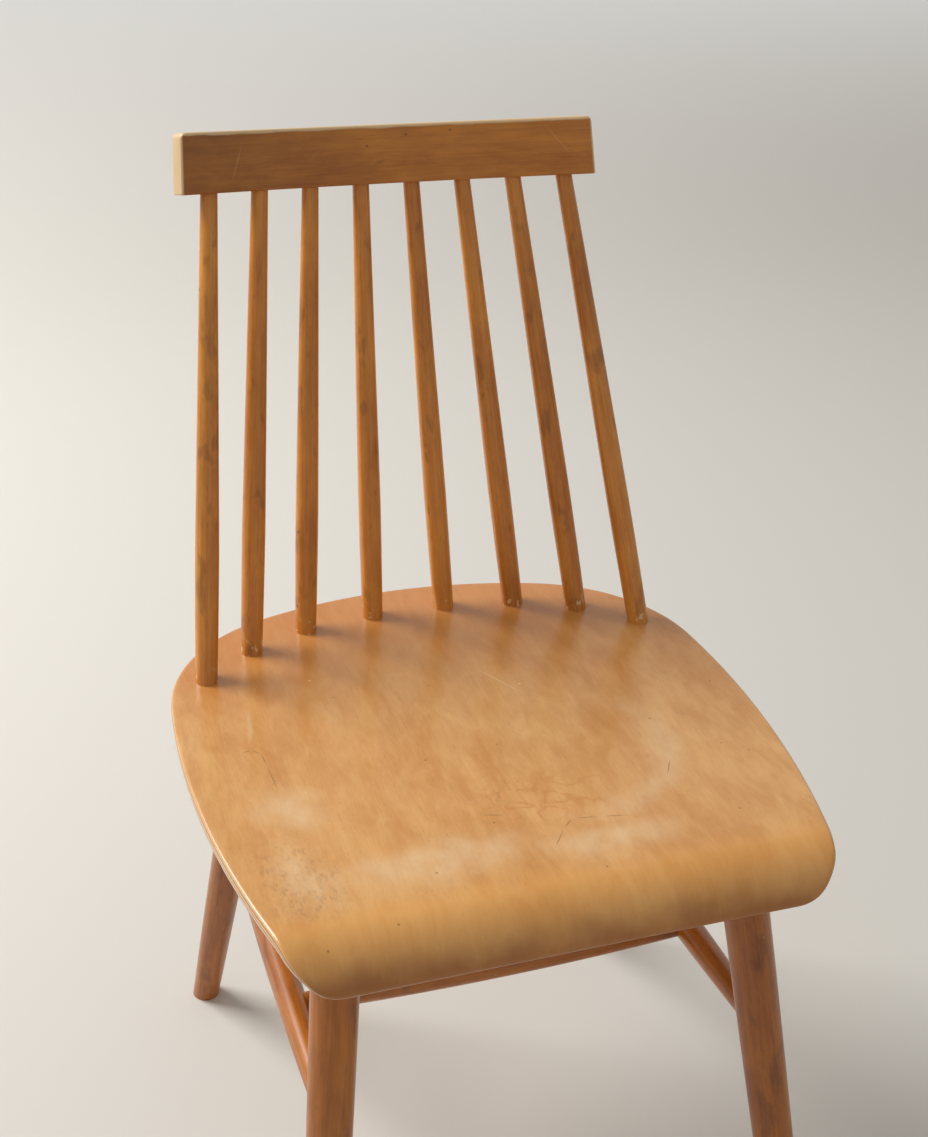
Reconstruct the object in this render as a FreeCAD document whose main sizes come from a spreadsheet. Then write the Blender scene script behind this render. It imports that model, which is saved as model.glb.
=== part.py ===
import FreeCAD, Part
import math
import os
import re
import Sketcher

# Spindle-back dining chair, all wood: a moulded plywood seat with a rolled front, two bearers
# under it that hold four splayed legs, an H of turned stretchers, eight turned spindles and a
# curved crest rail.
#
# Millimetres, +Z up, +Y towards the back, +X to the right as seen from the front. The origin is
# on the floor under the middle of the chair's overall width and depth.

SIZES = {
    # Seat shell, seen from above: rear arc, rear corners, long side arcs, front corners
    "seat_height": 434.0,
    "seat_thickness": 10.0,
    "seat_half_width": 226.0,
    "seat_widest_at": 5.0,
    "seat_rear": 227.0,
    "seat_rear_radius": 390.0,
    "seat_corner_radius": 143.0,
    "seat_side_radius": 830.0,
    "seat_front_corner": 40.0,
    "seat_edge_round": 3.0,
    # Seat shell, seen from the side: a shallow dish, then the roll down at the front
    "seat_dish": 4.5,
    "seat_hollow": 5.0,
    "seat_least_hollow": 1.5,
    "roll_start": -197.5,
    "roll_radius": 38.0,
    "roll_angle": 80.0,
    # Sheet beyond the outline, trimmed off after moulding
    "sheet_margin": 15.0,
    # How far bores and trims run past the surface that they cut
    "cut_spare": 1.0,
    # Bearers under the seat
    "bearer_depth": 36.0,
    "glue_gap": 0.3,
    "front_bearer_setback": 32.1,
    "front_bearer_width": 56.0,
    "front_bearer_end_inset": 46.0,
    "front_bearer_corner": 12.0,
    "rear_bearer_band": 72.0,
    "rear_bearer_inset": 9.0,
    "rear_bearer_end": 95.0,
    "bearer_edge_round": 2.5,
    # Legs: where they meet the underside of the bearers, how far they lean and which way,
    # as an angle from straight ahead to the right
    "front_top_inset": 76.0,
    "front_splay_angle": 15.53,
    "front_heading_angle": 156.2,
    "rear_top_inset": 44.7,
    "rear_top_angle": 39.67,
    "rear_splay_angle": 14.35,
    "rear_heading_angle": 29.16,
    "leg_foot_diameter": 25.0,
    "leg_top_diameter": 34.4,
    "leg_belly": 0.8,
    "leg_seat_depth": 6.0,
    "leg_tenon_diameter": 22.0,
    "leg_tenon_length": 12.0,
    # Stretchers: heights where their axes meet the leg axes, and their turned section
    "stretcher_rear_height": 239.0,
    "stretcher_front_height": 262.0,
    "stretcher_diameter": 23.8,
    "stretcher_end_diameter": 16.4,
    "stretcher_past_axis": 4.0,
    "cross_share": 0.67,
    "cross_diameter": 22.5,
    "cross_end_diameter": 14.5,
    "cross_past_axis": 3.0,
    "shoulder_margin": 1.0,
    # Spindle feet on the seat, inner pair to outer pair: distance in from the seat's edge, and
    # angle from straight back round the rear arc's centre (inner two) or the corner's
    "foot_inner_inset": 38.8,
    "foot_inner_angle": 5.28,
    "foot_second_inset": 37.0,
    "foot_second_angle": 15.39,
    "foot_third_inset": 37.3,
    "foot_third_angle": 38.04,
    "foot_outer_inset": 24.5,
    "foot_outer_angle": 66.97,
    # Spindles: thickest a little above the seat, then a straight taper to the crest rail
    "spindle_pitch": 42.5,
    "spindle_top_diameter": 13.4,
    "spindle_belly_diameter": 19.2,
    "spindle_belly_height": 102.0,
    "spindle_foot_diameter": 17.4,
    "spindle_seat_depth": 12.0,
    "spindle_foot_tenon": 12.0,
    "spindle_foot_tenon_length": 11.0,
    "spindle_crest_depth": 2.5,
    "spindle_crest_tenon": 10.0,
    "spindle_crest_tenon_length": 18.0,
    # Crest rail: a curved bar that leans back
    "crest_setback": 35.1,
    "crest_rise": 356.6,
    "crest_lean": 12.3,
    "crest_radius": 587.0,
    "crest_length": 349.6,
    "crest_depth": 46.3,
    "crest_thickness": 18.0,
    "crest_end_taper": 3.0,
    "crest_corner_round": 5.0,
    "crest_edge_round": 3.0,
    "crest_lower_round": 1.2,
    # Screws from below through the bearers into the seat
    "screw_head_diameter": 8.0,
    "screw_head_height": 2.6,
    "screw_diameter": 4.0,
    "screw_length": 29.0,
    "screw_point": 5.0,
    "screw_tip_diameter": 0.4,
    "front_screw_inner_x": 40.0,
    "front_screw_outer_x": 105.0,
    "rear_screw_inset": 57.0,
    "rear_screw_inner_angle": 5.5,
    "rear_screw_outer_angle": 16.5,
    # Radial room in every glued socket, and the pocket left for glue past a tenon's end
    "socket_room": 0.1,
    "socket_end_room": 0.5,
}

doc = FreeCAD.newDocument("spindle_back_chair")
sheet = doc.addObject("Spreadsheet::Sheet", "Sizes")
for row, (alias, number) in enumerate(SIZES.items(), start=1):
    sheet.set(f"A{row}", alias)
    sheet.set(f"B{row}", str(number))
    sheet.setAlias(f"B{row}", alias)
doc.recompute()

NODES = []


# Places that follow from the sizes

REAR_CENTRE_Y = "(seat_rear - seat_rear_radius)"
SIDE_CENTRE_X = "(seat_half_width - seat_side_radius)"
ROLL_CENTRE_Z = "(seat_height - roll_radius)"
OUTLINE_FRONT = "(roll_start - roll_radius - cut_spare)"
SHEET_HALF_WIDTH = "(seat_half_width + sheet_margin)"
UNDERSIDE = "(seat_height - bearer_depth)"
FRONT_BEARER_Y = "(roll_start + front_bearer_setback)"
CREST_Y = "(seat_rear + crest_setback)"
CREST_Z = "(seat_height + crest_rise)"


def corner_centre():
    """Centre of the right rear corner arc, tangent to the rear arc and to the side arc."""
    from_rear = "(seat_rear_radius - seat_corner_radius)"
    from_side = "(seat_side_radius - seat_corner_radius)"
    rise = f"(seat_widest_at - {REAR_CENTRE_Y})"
    apart = f"hypot({SIDE_CENTRE_X}; {rise})"
    along = f"(({from_rear}^2 - {from_side}^2 + {apart}^2) / (2 * {apart}))"
    across = f"sqrt({from_rear}^2 - {along}^2)"
    x = f"(({SIDE_CENTRE_X} * {along} + {rise} * {across}) / {apart})"
    y = f"({REAR_CENTRE_Y} + ({rise} * {along} - {SIDE_CENTRE_X} * {across}) / {apart})"
    return x, y


CORNER_X, CORNER_Y = corner_centre()
REAR_ARC = ("0", REAR_CENTRE_Y, "seat_rear_radius")
CORNER_ARC = (CORNER_X, CORNER_Y, "seat_corner_radius")


def inside_edge(arc, side, inset, turn):
    """The point an inset inside one of the outline's arcs, at an angle from straight back."""
    x, y, radius = arc
    return (f"({side} * ({x} + ({radius} - {inset}) * sin({turn})))",
            f"({y} + ({radius} - {inset}) * cos({turn}))")


# Formulas

def bound(formula):
    """The formula with each size name pointing at its cell of the sheet."""
    def cell(word):
        name = word.group()
        return f"Sizes.{name}" if name in SIZES else name
    return re.sub(r"[a-z]+(?:_[a-z]+)+", cell, formula)


def value(formula):
    """The number that a formula gives at the present sizes."""
    return float(sheet.evalExpression(bound(formula)))


def length(start, end):
    """Formula for the distance between two points."""
    squares = [f"({b} - ({a}))^2" for a, b in zip(start, end)]
    return f"sqrt({' + '.join(squares)})"


def pose(start, end, shift="0"):
    """Placement formula: local Z runs from start to end, and the origin is shift past start."""
    dx, dy, dz = [f"({b} - ({a}))" for a, b in zip(start, end)]
    swing = f"rotation(vector(0; 0; 1); atan2({dy}; {dx}))"
    tilt = f"rotation(vector(0; 1; 0); atan2(hypot({dx}; {dy}); {dz}))"
    start_point = "; ".join(start)
    slide = f"placement(vector(0; 0; {shift}); rotation(vector(0; 0; 1); 0))"
    return bound(f"placement(vector({start_point}); {swing} * {tilt}) * {slide}")


def between(start, end, share):
    """The point at a share of the way from start to end."""
    return tuple(f"({a} + ({b} - ({a})) * {share})" for a, b in zip(start, end))


def leg_top(row, side):
    """Where a leg's axis meets the underside of its bearer."""
    if row == "front":
        return (f"({side} * (seat_half_width - front_top_inset))", FRONT_BEARER_Y)
    return inside_edge(CORNER_ARC, side, "rear_top_inset", "rear_top_angle")


def on_leg(row, side, height):
    """The point of a leg's axis at a height, for the front or rear row and side -1 or 1."""
    top_x, top_y = leg_top(row, side)
    out = f"(({UNDERSIDE} - {height}) * tan({row}_splay_angle))"
    return (f"({top_x} + {side} * {out} * sin({row}_heading_angle))",
            f"({top_y} + {out} * cos({row}_heading_angle))", f"({height})")


# Sketches

def plane_of(body, role):
    return next(item for item in body.Origin.OriginFeatures if item.Role == role)


def new_sketch(body, name, role):
    sketch = body.newObject("Sketcher::SketchObject", name)
    sketch.AttachmentSupport = [(plane_of(body, role), "")]
    sketch.MapMode = "FlatFace"
    return sketch


def tie(sketch, kind, geometry, formula, point=None):
    """Adds a dimension to the sketch and binds it to a formula."""
    number = value(formula)
    if point is None:
        index = sketch.addConstraint(Sketcher.Constraint(kind, geometry, number))
    else:
        index = sketch.addConstraint(Sketcher.Constraint(kind, -1, 1, geometry, point, number))
    name = f"{kind.lower()}{index}"
    sketch.renameConstraint(index, name)
    sketch.setExpression(f"Constraints.{name}", bound(formula))


def place_point(sketch, geometry, point, x, y):
    """Holds a point of the sketch at two formulas, measured from the sketch's origin."""
    for kind, axis, formula in (("DistanceX", -2, x), ("DistanceY", -1, y)):
        if formula == "0":
            sketch.addConstraint(Sketcher.Constraint("PointOnObject", geometry, point, axis))
        else:
            tie(sketch, kind, geometry, formula, point)


def arc_between(start, end, radius, turn_left):
    """A Part arc of a radius from start to end, with its centre on the left or right."""
    chord = end - start
    across = FreeCAD.Vector(-chord.y, chord.x, 0).normalize()
    rise = radius - math.sqrt(radius ** 2 - (chord.Length / 2) ** 2)
    side = -1 if turn_left else 1
    middle = (start + end) * 0.5 + across * (side * rise)
    return Part.Arc(start, middle, end)


def outline(sketch, corners, bends=None):
    """A closed outline through corner formulas.

    bends gives, for the side that starts at a corner's index, the radius formula of an arc and
    whether its centre is on the left of the way along it.
    """
    bends = bends or {}
    points = [FreeCAD.Vector(value(x), value(y), 0) for x, y in corners]
    ends = []
    for index, start in enumerate(points):
        end = points[(index + 1) % len(points)]
        if index in bends:
            radius, turn_left = bends[index]
            geometry = sketch.addGeometry(arc_between(start, end, value(radius), turn_left), False)
            ends.append((geometry, (1, 2) if turn_left else (2, 1)))
        else:
            geometry = sketch.addGeometry(Part.LineSegment(start, end), False)
            ends.append((geometry, (1, 2)))
    for index, (geometry, (first, _)) in enumerate(ends):
        before, (_, last) = ends[index - 1]
        sketch.addConstraint(Sketcher.Constraint("Coincident", before, last, geometry, first))
        place_point(sketch, geometry, first, *corners[index])
    for index, (radius, _) in bends.items():
        tie(sketch, "Radius", ends[index][0], radius)


# Features

def new_body(name):
    return doc.addObject("PartDesign::Body", name)


def revolve(body, sketch):
    turned = body.newObject("PartDesign::Revolution", "turning")
    turned.Profile = sketch
    turned.ReferenceAxis = (sketch, ["V_Axis"])
    turned.Angle = 360.0
    return turned


def pad(body, sketch, height):
    block = body.newObject("PartDesign::Pad", "block")
    block.Profile = sketch
    block.setExpression("Length", bound(height))
    return block


def trim(body, sketch):
    """Cuts a sketch's area away on both sides of its plane, and checks that it cut something."""
    doc.recompute()
    before = body.Shape.Volume
    pocket = body.newObject("PartDesign::Pocket", "trim")
    pocket.Profile = sketch
    pocket.SideType = "Symmetric"
    pocket.Type = "ThroughAll"
    doc.recompute()
    if not body.Shape.Volume < before:
        raise RuntimeError(f"{body.Label}: the trim cuts nothing")
    return pocket


def round_edges(body, radius, wanted):
    """Rounds the edges of the body's last feature that pass the test."""
    doc.recompute()
    tip = body.Tip
    names = [f"Edge{n}" for n, edge in enumerate(tip.Shape.Edges, start=1) if wanted(edge)]
    if not names:
        raise RuntimeError(f"{body.Label}: no edge to round")
    rounding = body.newObject("PartDesign::Fillet", "rounding")
    rounding.Base = (tip, names)
    rounding.setExpression("Radius", bound(radius))
    return rounding


def cylinder(radius, height, place):
    tool = doc.addObject("Part::Cylinder", "bore")
    tool.setExpression("Radius", bound(radius))
    tool.setExpression("Height", bound(height))
    tool.setExpression("Placement", place)
    return tool


def cone(low_radius, high_radius, height, place):
    tool = doc.addObject("Part::Cone", "countersink")
    tool.setExpression("Radius1", bound(low_radius))
    tool.setExpression("Radius2", bound(high_radius))
    tool.setExpression("Height", bound(height))
    tool.setExpression("Placement", place)
    return tool


def joined(shapes, name):
    if len(shapes) == 1:
        return shapes[0]
    fusion = doc.addObject("Part::MultiFuse", name)
    fusion.Shapes = shapes
    return fusion


def cut(label, base, *tool_groups):
    """The base less each group of tools in turn, as a node."""
    result = base
    for tools in tool_groups:
        result, before = doc.addObject("Part::Cut", "cut"), result
        result.Base = before
        result.Tool = joined(tools, "sockets")
    result.Label = label
    NODES.append(result)
    return result


# Seat

# Shares of the way from the roll to the rear edge, and round the roll
FLAT_SHARES = (1.0, 0.85, 0.7, 0.55, 0.4, 0.25, 0.12, 0.0)
ROLL_SHARES = (0.2, 0.4, 0.6, 0.8, 1.0)


def seat_stations():
    """Formulas of the seat's cross-sections from rear to lip: Y, Z, tilt and end rise."""
    stations = []
    for share in FLAT_SHARES:
        wave = f"sin({180 * share})^2"
        y = f"(roll_start + (seat_rear + sheet_margin - roll_start) * {share})"
        z = f"(seat_height - seat_dish * {wave})"
        stations.append((y, z, "0", f"(seat_least_hollow + seat_hollow * {wave})"))
    for share in ROLL_SHARES:
        turn = f"(roll_angle * {share})"
        y = f"(roll_start - roll_radius * sin({turn}))"
        z = f"({ROLL_CENTRE_Z} + roll_radius * cos({turn}))"
        stations.append((y, z, turn, "seat_least_hollow"))
    return stations


def sheet_loft(name, above, below):
    """A body that follows the seat's top surface, from below it to above it."""
    body = new_body(name)
    sections = []
    for y, z, turn, rise in seat_stations():
        sketch = new_sketch(body, "section", "XZ_Plane")
        sketch.setExpression("AttachmentOffset", bound(
            f"placement(vector(0; {z}; -{y}); rotation(vector(1; 0; 0); {turn}))"))
        radius = f"(({SHEET_HALF_WIDTH}^2 + {rise}^2) / (2 * {rise}))"
        low = f"({rise} - {below})"
        high = f"({rise} + {above})"
        outline(sketch,
                [(f"-{SHEET_HALF_WIDTH}", low), (SHEET_HALF_WIDTH, low),
                 (SHEET_HALF_WIDTH, high), (f"-{SHEET_HALF_WIDTH}", high)],
                {0: (radius, True), 2: (radius, False)})
        sections.append(sketch)
    doc.recompute()
    loft = body.newObject("PartDesign::AdditiveLoft", "sheet")
    loft.Profile = sections[0]
    loft.Sections = sections[1:]
    doc.recompute()
    return body


def plan_sketch(body, name, inset, outside=True):
    """The seat's outline less an inset, as a sketch of everything outside it or inside it."""
    sketch = new_sketch(body, name, "XY_Plane")
    if outside:
        far = "(seat_half_width + seat_rear)"
        outline(sketch, [(f"-{far}", f"-{far}"), (far, f"-{far}"), (far, far), (f"-{far}", far)])
    inset_now = value(inset)
    rear_centre = FreeCAD.Vector(0, value(REAR_CENTRE_Y), 0)
    corner = FreeCAD.Vector(value(CORNER_X), value(CORNER_Y), 0)
    side_centre = FreeCAD.Vector(value(SIDE_CENTRE_X), value("seat_widest_at"), 0)
    rear_radius = value("seat_rear_radius") - inset_now
    corner_radius = value("seat_corner_radius") - inset_now
    side_radius = value("seat_side_radius") - inset_now
    nose_radius = value("seat_front_corner")
    nose_reach = side_radius - nose_radius
    nose = FreeCAD.Vector(0, value(OUTLINE_FRONT) + nose_radius, 0)
    nose.x = side_centre.x + math.sqrt(nose_reach ** 2 - (nose.y - side_centre.y) ** 2)

    def angle(centre, point):
        return math.atan2(point.y - centre.y, point.x - centre.x)

    rear_turn = angle(rear_centre, corner)
    side_turn = angle(side_centre, corner)
    nose_turn = angle(side_centre, nose)
    up = FreeCAD.Vector(0, 0, 1)

    def arc(centre, radius, low, high, side):
        if side < 0:
            centre = FreeCAD.Vector(-centre.x, centre.y, 0)
            low, high = math.pi - high, math.pi - low
        circle = Part.Circle(centre, up, radius)
        return sketch.addGeometry(Part.ArcOfCircle(circle, low, high), False)

    rear_arc = arc(rear_centre, rear_radius, rear_turn, math.pi - rear_turn, 1)
    place_point(sketch, rear_arc, 3, "0", REAR_CENTRE_Y)
    tie(sketch, "Radius", rear_arc, f"seat_rear_radius - {inset}")
    noses = []
    for side in (1, -1):
        first, last = (1, 2) if side > 0 else (2, 1)
        corner_arc = arc(corner, corner_radius, side_turn, rear_turn, side)
        side_arc = arc(side_centre, side_radius, nose_turn, side_turn, side)
        nose_arc = arc(nose, nose_radius, -math.pi / 2, nose_turn, side)
        sketch.addConstraint(Sketcher.Constraint("Tangent", rear_arc, first, corner_arc, last))
        sketch.addConstraint(Sketcher.Constraint("Tangent", corner_arc, first, side_arc, last))
        sketch.addConstraint(Sketcher.Constraint("Tangent", side_arc, first, nose_arc, last))
        tie(sketch, "Radius", corner_arc, f"seat_corner_radius - {inset}")
        tie(sketch, "Radius", side_arc, f"seat_side_radius - {inset}")
        tie(sketch, "Radius", nose_arc, "seat_front_corner")
        place_point(sketch, side_arc, 3, f"{side} * {SIDE_CENTRE_X}", "seat_widest_at")
        noses.append((nose_arc, first))
    ends = [sketch.getPoint(nose_arc, first) for nose_arc, first in noses]
    front_line = sketch.addGeometry(Part.LineSegment(*ends), False)
    for point, (nose_arc, first) in enumerate(noses, start=1):
        sketch.addConstraint(Sketcher.Constraint("Tangent", nose_arc, first, front_line, point))
    tie(sketch, "DistanceY", front_line, OUTLINE_FRONT, 1)
    return sketch


def seat_blank():
    body = sheet_loft("seat_blank", "0", "seat_thickness")
    trim(body, plan_sketch(body, "seat_outline", "0"))
    doc.recompute()
    skins = sorted(body.Tip.Shape.Faces, key=lambda face: face.Area)[-2:]
    rim = [edge for skin in skins for edge in skin.Edges]
    round_edges(body, "seat_edge_round", lambda edge: any(edge.isSame(other) for other in rim))
    return body


# Bearers

def front_bearer_blank():
    body = new_body("front_bearer_blank")
    sketch = new_sketch(body, "plan", "XY_Plane")
    sketch.setExpression("AttachmentOffset", bound(
        f"placement(vector(0; {FRONT_BEARER_Y}; {UNDERSIDE}); rotation(vector(0; 0; 1); 0))"))
    half_width = "(front_bearer_width / 2)"
    half_length = "(seat_half_width - front_bearer_end_inset)"
    outline(sketch, [(f"-{half_length}", f"-{half_width}"), (half_length, f"-{half_width}"),
                     (half_length, half_width), (f"-{half_length}", half_width)])
    pad(body, sketch, "bearer_depth")
    round_edges(body, "front_bearer_corner", stands_upright)
    round_edges(body, "bearer_edge_round", lies_at_bearer_underside)
    return body


def rear_bearer_blank():
    """A band of even width that follows the rear of the seat round both corners."""
    body = new_body("rear_bearer_blank")
    sketch = new_sketch(body, "block", "XY_Plane")
    sketch.setExpression("AttachmentOffset", bound(
        f"placement(vector(0; 0; {UNDERSIDE}); rotation(vector(0; 0; 1); 0))"))
    back = "(seat_rear + sheet_margin)"
    outline(sketch, [(f"-{SHEET_HALF_WIDTH}", "rear_bearer_end"),
                     (SHEET_HALF_WIDTH, "rear_bearer_end"),
                     (SHEET_HALF_WIDTH, back), (f"-{SHEET_HALF_WIDTH}", back)])
    pad(body, sketch, "bearer_depth")
    trim(body, plan_sketch(body, "outer_edge", "rear_bearer_inset"))
    trim(body, plan_sketch(body, "inner_edge", "(rear_bearer_inset + rear_bearer_band)", False))
    round_edges(body, "bearer_edge_round", lies_at_bearer_underside)
    return body


def stands_upright(edge):
    box = edge.BoundBox
    return box.ZLength > 1.0 and box.XLength < 0.01 and box.YLength < 0.01


def lies_at_bearer_underside(edge):
    box = edge.BoundBox
    return box.ZLength < 0.01 and abs(box.ZMin - value(UNDERSIDE)) < 0.01


# Legs

def leg_blank(row, side):
    """A turned leg along its own Z, from the foot's centre on the floor to its tenon."""
    foot = on_leg(row, side, "0")
    top = on_leg(row, side, UNDERSIDE)
    reach = length(foot, top)
    lean = f"{row}_splay_angle"
    shoulder = f"({reach} + leg_seat_depth)"
    tip = f"({shoulder} + leg_tenon_length)"
    foot_radius = "(leg_foot_diameter / 2)"
    top_radius = "(leg_top_diameter / 2)"
    tenon_radius = "(leg_tenon_diameter / 2)"
    body = new_body(f"{row}_leg_blank")
    profile = new_sketch(body, "profile", "XZ_Plane")
    below = f"-({foot_radius} * tan({lean}) + cut_spare)"
    chord = f"hypot({reach} - {below}; {top_radius} - {foot_radius})"
    bend = f"(({chord}^2 / 4 + leg_belly^2) / (2 * leg_belly))"
    outline(profile,
            [("0", below), (foot_radius, below), (top_radius, reach),
             (top_radius, shoulder), (tenon_radius, shoulder), (tenon_radius, tip), ("0", tip)],
            {1: (bend, True)})
    revolve(body, profile)
    floor = new_sketch(body, "floor", "XZ_Plane")
    half = "leg_foot_diameter"
    outline(floor, [(f"-{half}", f"-{half}"), (half, f"-{half}"),
                    (half, f"{half} * tan({lean})"), (f"-{half}", f"-{half} * tan({lean})")])
    trim(body, floor)
    body.setExpression("Placement", pose(foot, top))
    return body


def leg_sockets(row, side):
    """Stepped bore for one leg in its bearer."""
    foot = on_leg(row, side, "0")
    top = on_leg(row, side, UNDERSIDE)
    reach = length(foot, top)
    wide = cylinder("leg_top_diameter / 2 + socket_room", "leg_top_diameter + leg_seat_depth",
                    pose(foot, top, f"({reach} - leg_top_diameter)"))
    narrow = cylinder("leg_tenon_diameter / 2 + socket_room",
                      "leg_seat_depth + leg_tenon_length + socket_end_room",
                      pose(foot, top, reach))
    return [wide, narrow]


# Stretchers

def stretcher(name, start, end, diameter, end_diameter, past, shoulder):
    """A cigar-shaped rod from axis to axis, with plain ends that run past both axes."""
    reach = length(start, end)
    end_radius = f"({end_diameter} / 2)"
    swell = f"(({diameter} - {end_diameter}) / 2)"
    body = new_body(name)
    profile = new_sketch(body, "profile", "XZ_Plane")
    bend = f"(({reach} / 2 - {shoulder})^2 + {swell}^2) / (2 * {swell})"
    outline(profile,
            [("0", f"-{past}"), (end_radius, f"-{past}"), (end_radius, shoulder),
             (end_radius, f"({reach} - {shoulder})"), (end_radius, f"({reach} + {past})"),
             ("0", f"({reach} + {past})")],
            {2: (bend, True)})
    revolve(body, profile)
    body.setExpression("Placement", pose(start, end))
    return body


def mortise(start, end, end_diameter, past, depth):
    """Bore for a stretcher's end: from past the axis at start to outside the piece it enters."""
    return cylinder(f"{end_diameter} / 2 + socket_room", f"{past} + socket_end_room + {depth}",
                    pose(start, end, f"-({past} + socket_end_room)"))


# Back

SPINDLE_PAIRS = (("inner", REAR_ARC), ("second", REAR_ARC), ("third", CORNER_ARC),
                 ("outer", CORNER_ARC))


def spindle_foot(number):
    """Foot point of spindle 0 to 7 on the seat, from left to right."""
    side = -1 if number < 4 else 1
    pair, arc = SPINDLE_PAIRS[3 - number if number < 4 else number - 4]
    return inside_edge(arc, side, f"foot_{pair}_inset", f"foot_{pair}_angle") + ("seat_height",)


def spindle_head(number):
    """Where a spindle's axis meets the underside of the crest rail."""
    angle = f"({number - 3.5} * spindle_pitch / crest_radius * 180 / pi)"
    back = f"(crest_radius * (cos({angle}) - 1))"
    return (f"(crest_radius * sin({angle}))", f"({CREST_Y} + {back} * cos(crest_lean))",
            f"({CREST_Z} - {back} * sin(crest_lean))")


def spindle(number):
    """A turned spindle: plain foot in the seat, a long belly, then a straight taper upwards."""
    foot, head = spindle_foot(number), spindle_head(number)
    reach = length(foot, head)
    foot_radius = "(spindle_foot_diameter / 2)"
    belly_radius = "(spindle_belly_diameter / 2)"
    head_radius = "(spindle_top_diameter / 2)"
    swell = f"({belly_radius} - {foot_radius})"
    bend = f"((spindle_belly_height^2 + {swell}^2) / (2 * {swell}))"
    centre_x = f"({belly_radius} - {bend})"
    span = f"hypot({reach} - spindle_belly_height; {head_radius} - {centre_x})"
    leave = (f"(atan2({reach} - spindle_belly_height; {head_radius} - {centre_x})"
             f" - acos({bend} / {span}))")
    leave_x = f"({centre_x} + {bend} * cos({leave}))"
    leave_z = f"(spindle_belly_height + {bend} * sin({leave}))"
    low = "(spindle_seat_depth + spindle_foot_tenon_length)"
    high = f"({reach} + spindle_crest_depth)"
    top = f"({high} + spindle_crest_tenon_length)"
    label = f"spindle_{number + 1}"
    body = new_body(label)
    profile = new_sketch(body, "profile", "XZ_Plane")
    outline(profile,
            [("0", f"-{low}"), ("spindle_foot_tenon / 2", f"-{low}"),
             ("spindle_foot_tenon / 2", "-spindle_seat_depth"),
             (foot_radius, "-spindle_seat_depth"), (foot_radius, "0"), (leave_x, leave_z),
             (head_radius, reach), (head_radius, high),
             ("spindle_crest_tenon / 2", high), ("spindle_crest_tenon / 2", top), ("0", top)],
            {4: (bend, True)})
    revolve(body, profile)
    body.setExpression("Placement", pose(foot, head))
    body.Label = label
    NODES.append(body)


def crest_blank():
    """A curved bar whose radial ends draw in towards the top edge."""
    body = new_body("crest_blank")
    plan = new_sketch(body, "plan", "XY_Plane")
    overlong = "((crest_length / 2 + crest_thickness) / crest_radius * 180 / pi)"
    front = "(crest_radius - crest_thickness / 2)"
    back = "(crest_radius + crest_thickness / 2)"
    corners = []
    for side, radius in (("", front), ("", back), ("-", back), ("-", front)):
        corners.append((f"{side}{radius} * sin({overlong})",
                        f"({radius} * cos({overlong}) - crest_radius)"))
    outline(plan, corners, {1: (back, True), 3: (front, False)})
    pad(body, plan, "crest_depth")
    for side in (-1, 1):
        angle = f"({side} * crest_length / 2 / crest_radius * 180 / pi)"
        end = new_sketch(body, "end", "XZ_Plane")
        end.setExpression("AttachmentOffset", bound(
            f"placement(vector(crest_radius * sin({angle}); 0; crest_radius * (1 - cos({angle})));"
            f" rotation(vector(0; 1; 0); -{angle}))"))
        slope = "(crest_end_taper / crest_depth)"
        far = f"({side} * crest_depth)"
        low = "(-cut_spare)"
        high = "(crest_depth + cut_spare)"
        outline(end, [(f"-{side} * {slope} * {low}", low), (far, low), (far, high),
                      (f"-{side} * {slope} * {high}", high)])
        trim(body, end)
    round_edges(body, "crest_corner_round", crosses_top_corner)
    round_edges(body, "crest_edge_round", lambda edge: not lies_at_bottom(edge))
    round_edges(body, "crest_lower_round", lies_at_bottom)
    body.setExpression("Placement", bound(
        f"placement(vector(0; {CREST_Y}; {CREST_Z}); rotation(vector(1; 0; 0); -crest_lean))"))
    return body


def crosses_top_corner(edge):
    """Whether an edge crosses the crest rail's thickness at an upper corner."""
    box = edge.BoundBox
    high = box.ZMin > value("crest_depth") / 2
    return high and box.ZLength < 0.01 and box.XLength < value("crest_thickness")


def lies_at_bottom(edge):
    return edge.BoundBox.ZMax < 0.01


# Screws

def screw_places():
    """Where the screws stand on the underside of the bearers."""
    places = []
    for side in (-1, 1):
        for which in ("inner", "outer"):
            places.append((f"({side} * front_screw_{which}_x)", FRONT_BEARER_Y, UNDERSIDE))
            rear = inside_edge(REAR_ARC, side, "rear_screw_inset", f"rear_screw_{which}_angle")
            places.append(rear + (UNDERSIDE,))
    return places


def upright(point, shift):
    """Placement formula of an upright tool that starts a shift above a point."""
    return bound(f"placement(vector({point[0]}; {point[1]}; {point[2]} + {shift}); "
                 "rotation(vector(0; 0; 1); 0))")


def screw(point):
    """Countersunk head, plain shank and point."""
    shank_length = "(screw_length - screw_point)"
    head = cone("screw_head_diameter / 2", "screw_diameter / 2", "screw_head_height",
                upright(point, "0"))
    shank = cylinder("screw_diameter / 2", shank_length, upright(point, "0"))
    tip = cone("screw_diameter / 2", "screw_tip_diameter / 2", "screw_point",
               upright(point, shank_length))
    return joined([head, shank, tip], "screw")


def screw_bore(point):
    """Countersink and pilot hole for one screw."""
    countersink = cone("screw_head_diameter / 2 + socket_room", "screw_diameter / 2 + socket_room",
                       "screw_head_height", upright(point, "0"))
    pilot = cylinder("screw_diameter / 2 + socket_room", "screw_length + socket_end_room",
                     upright(point, "0"))
    return joined([countersink, pilot], "screw_bore")


# Assembly

SIDE_NAMES = {-1: "left", 1: "right"}

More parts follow.
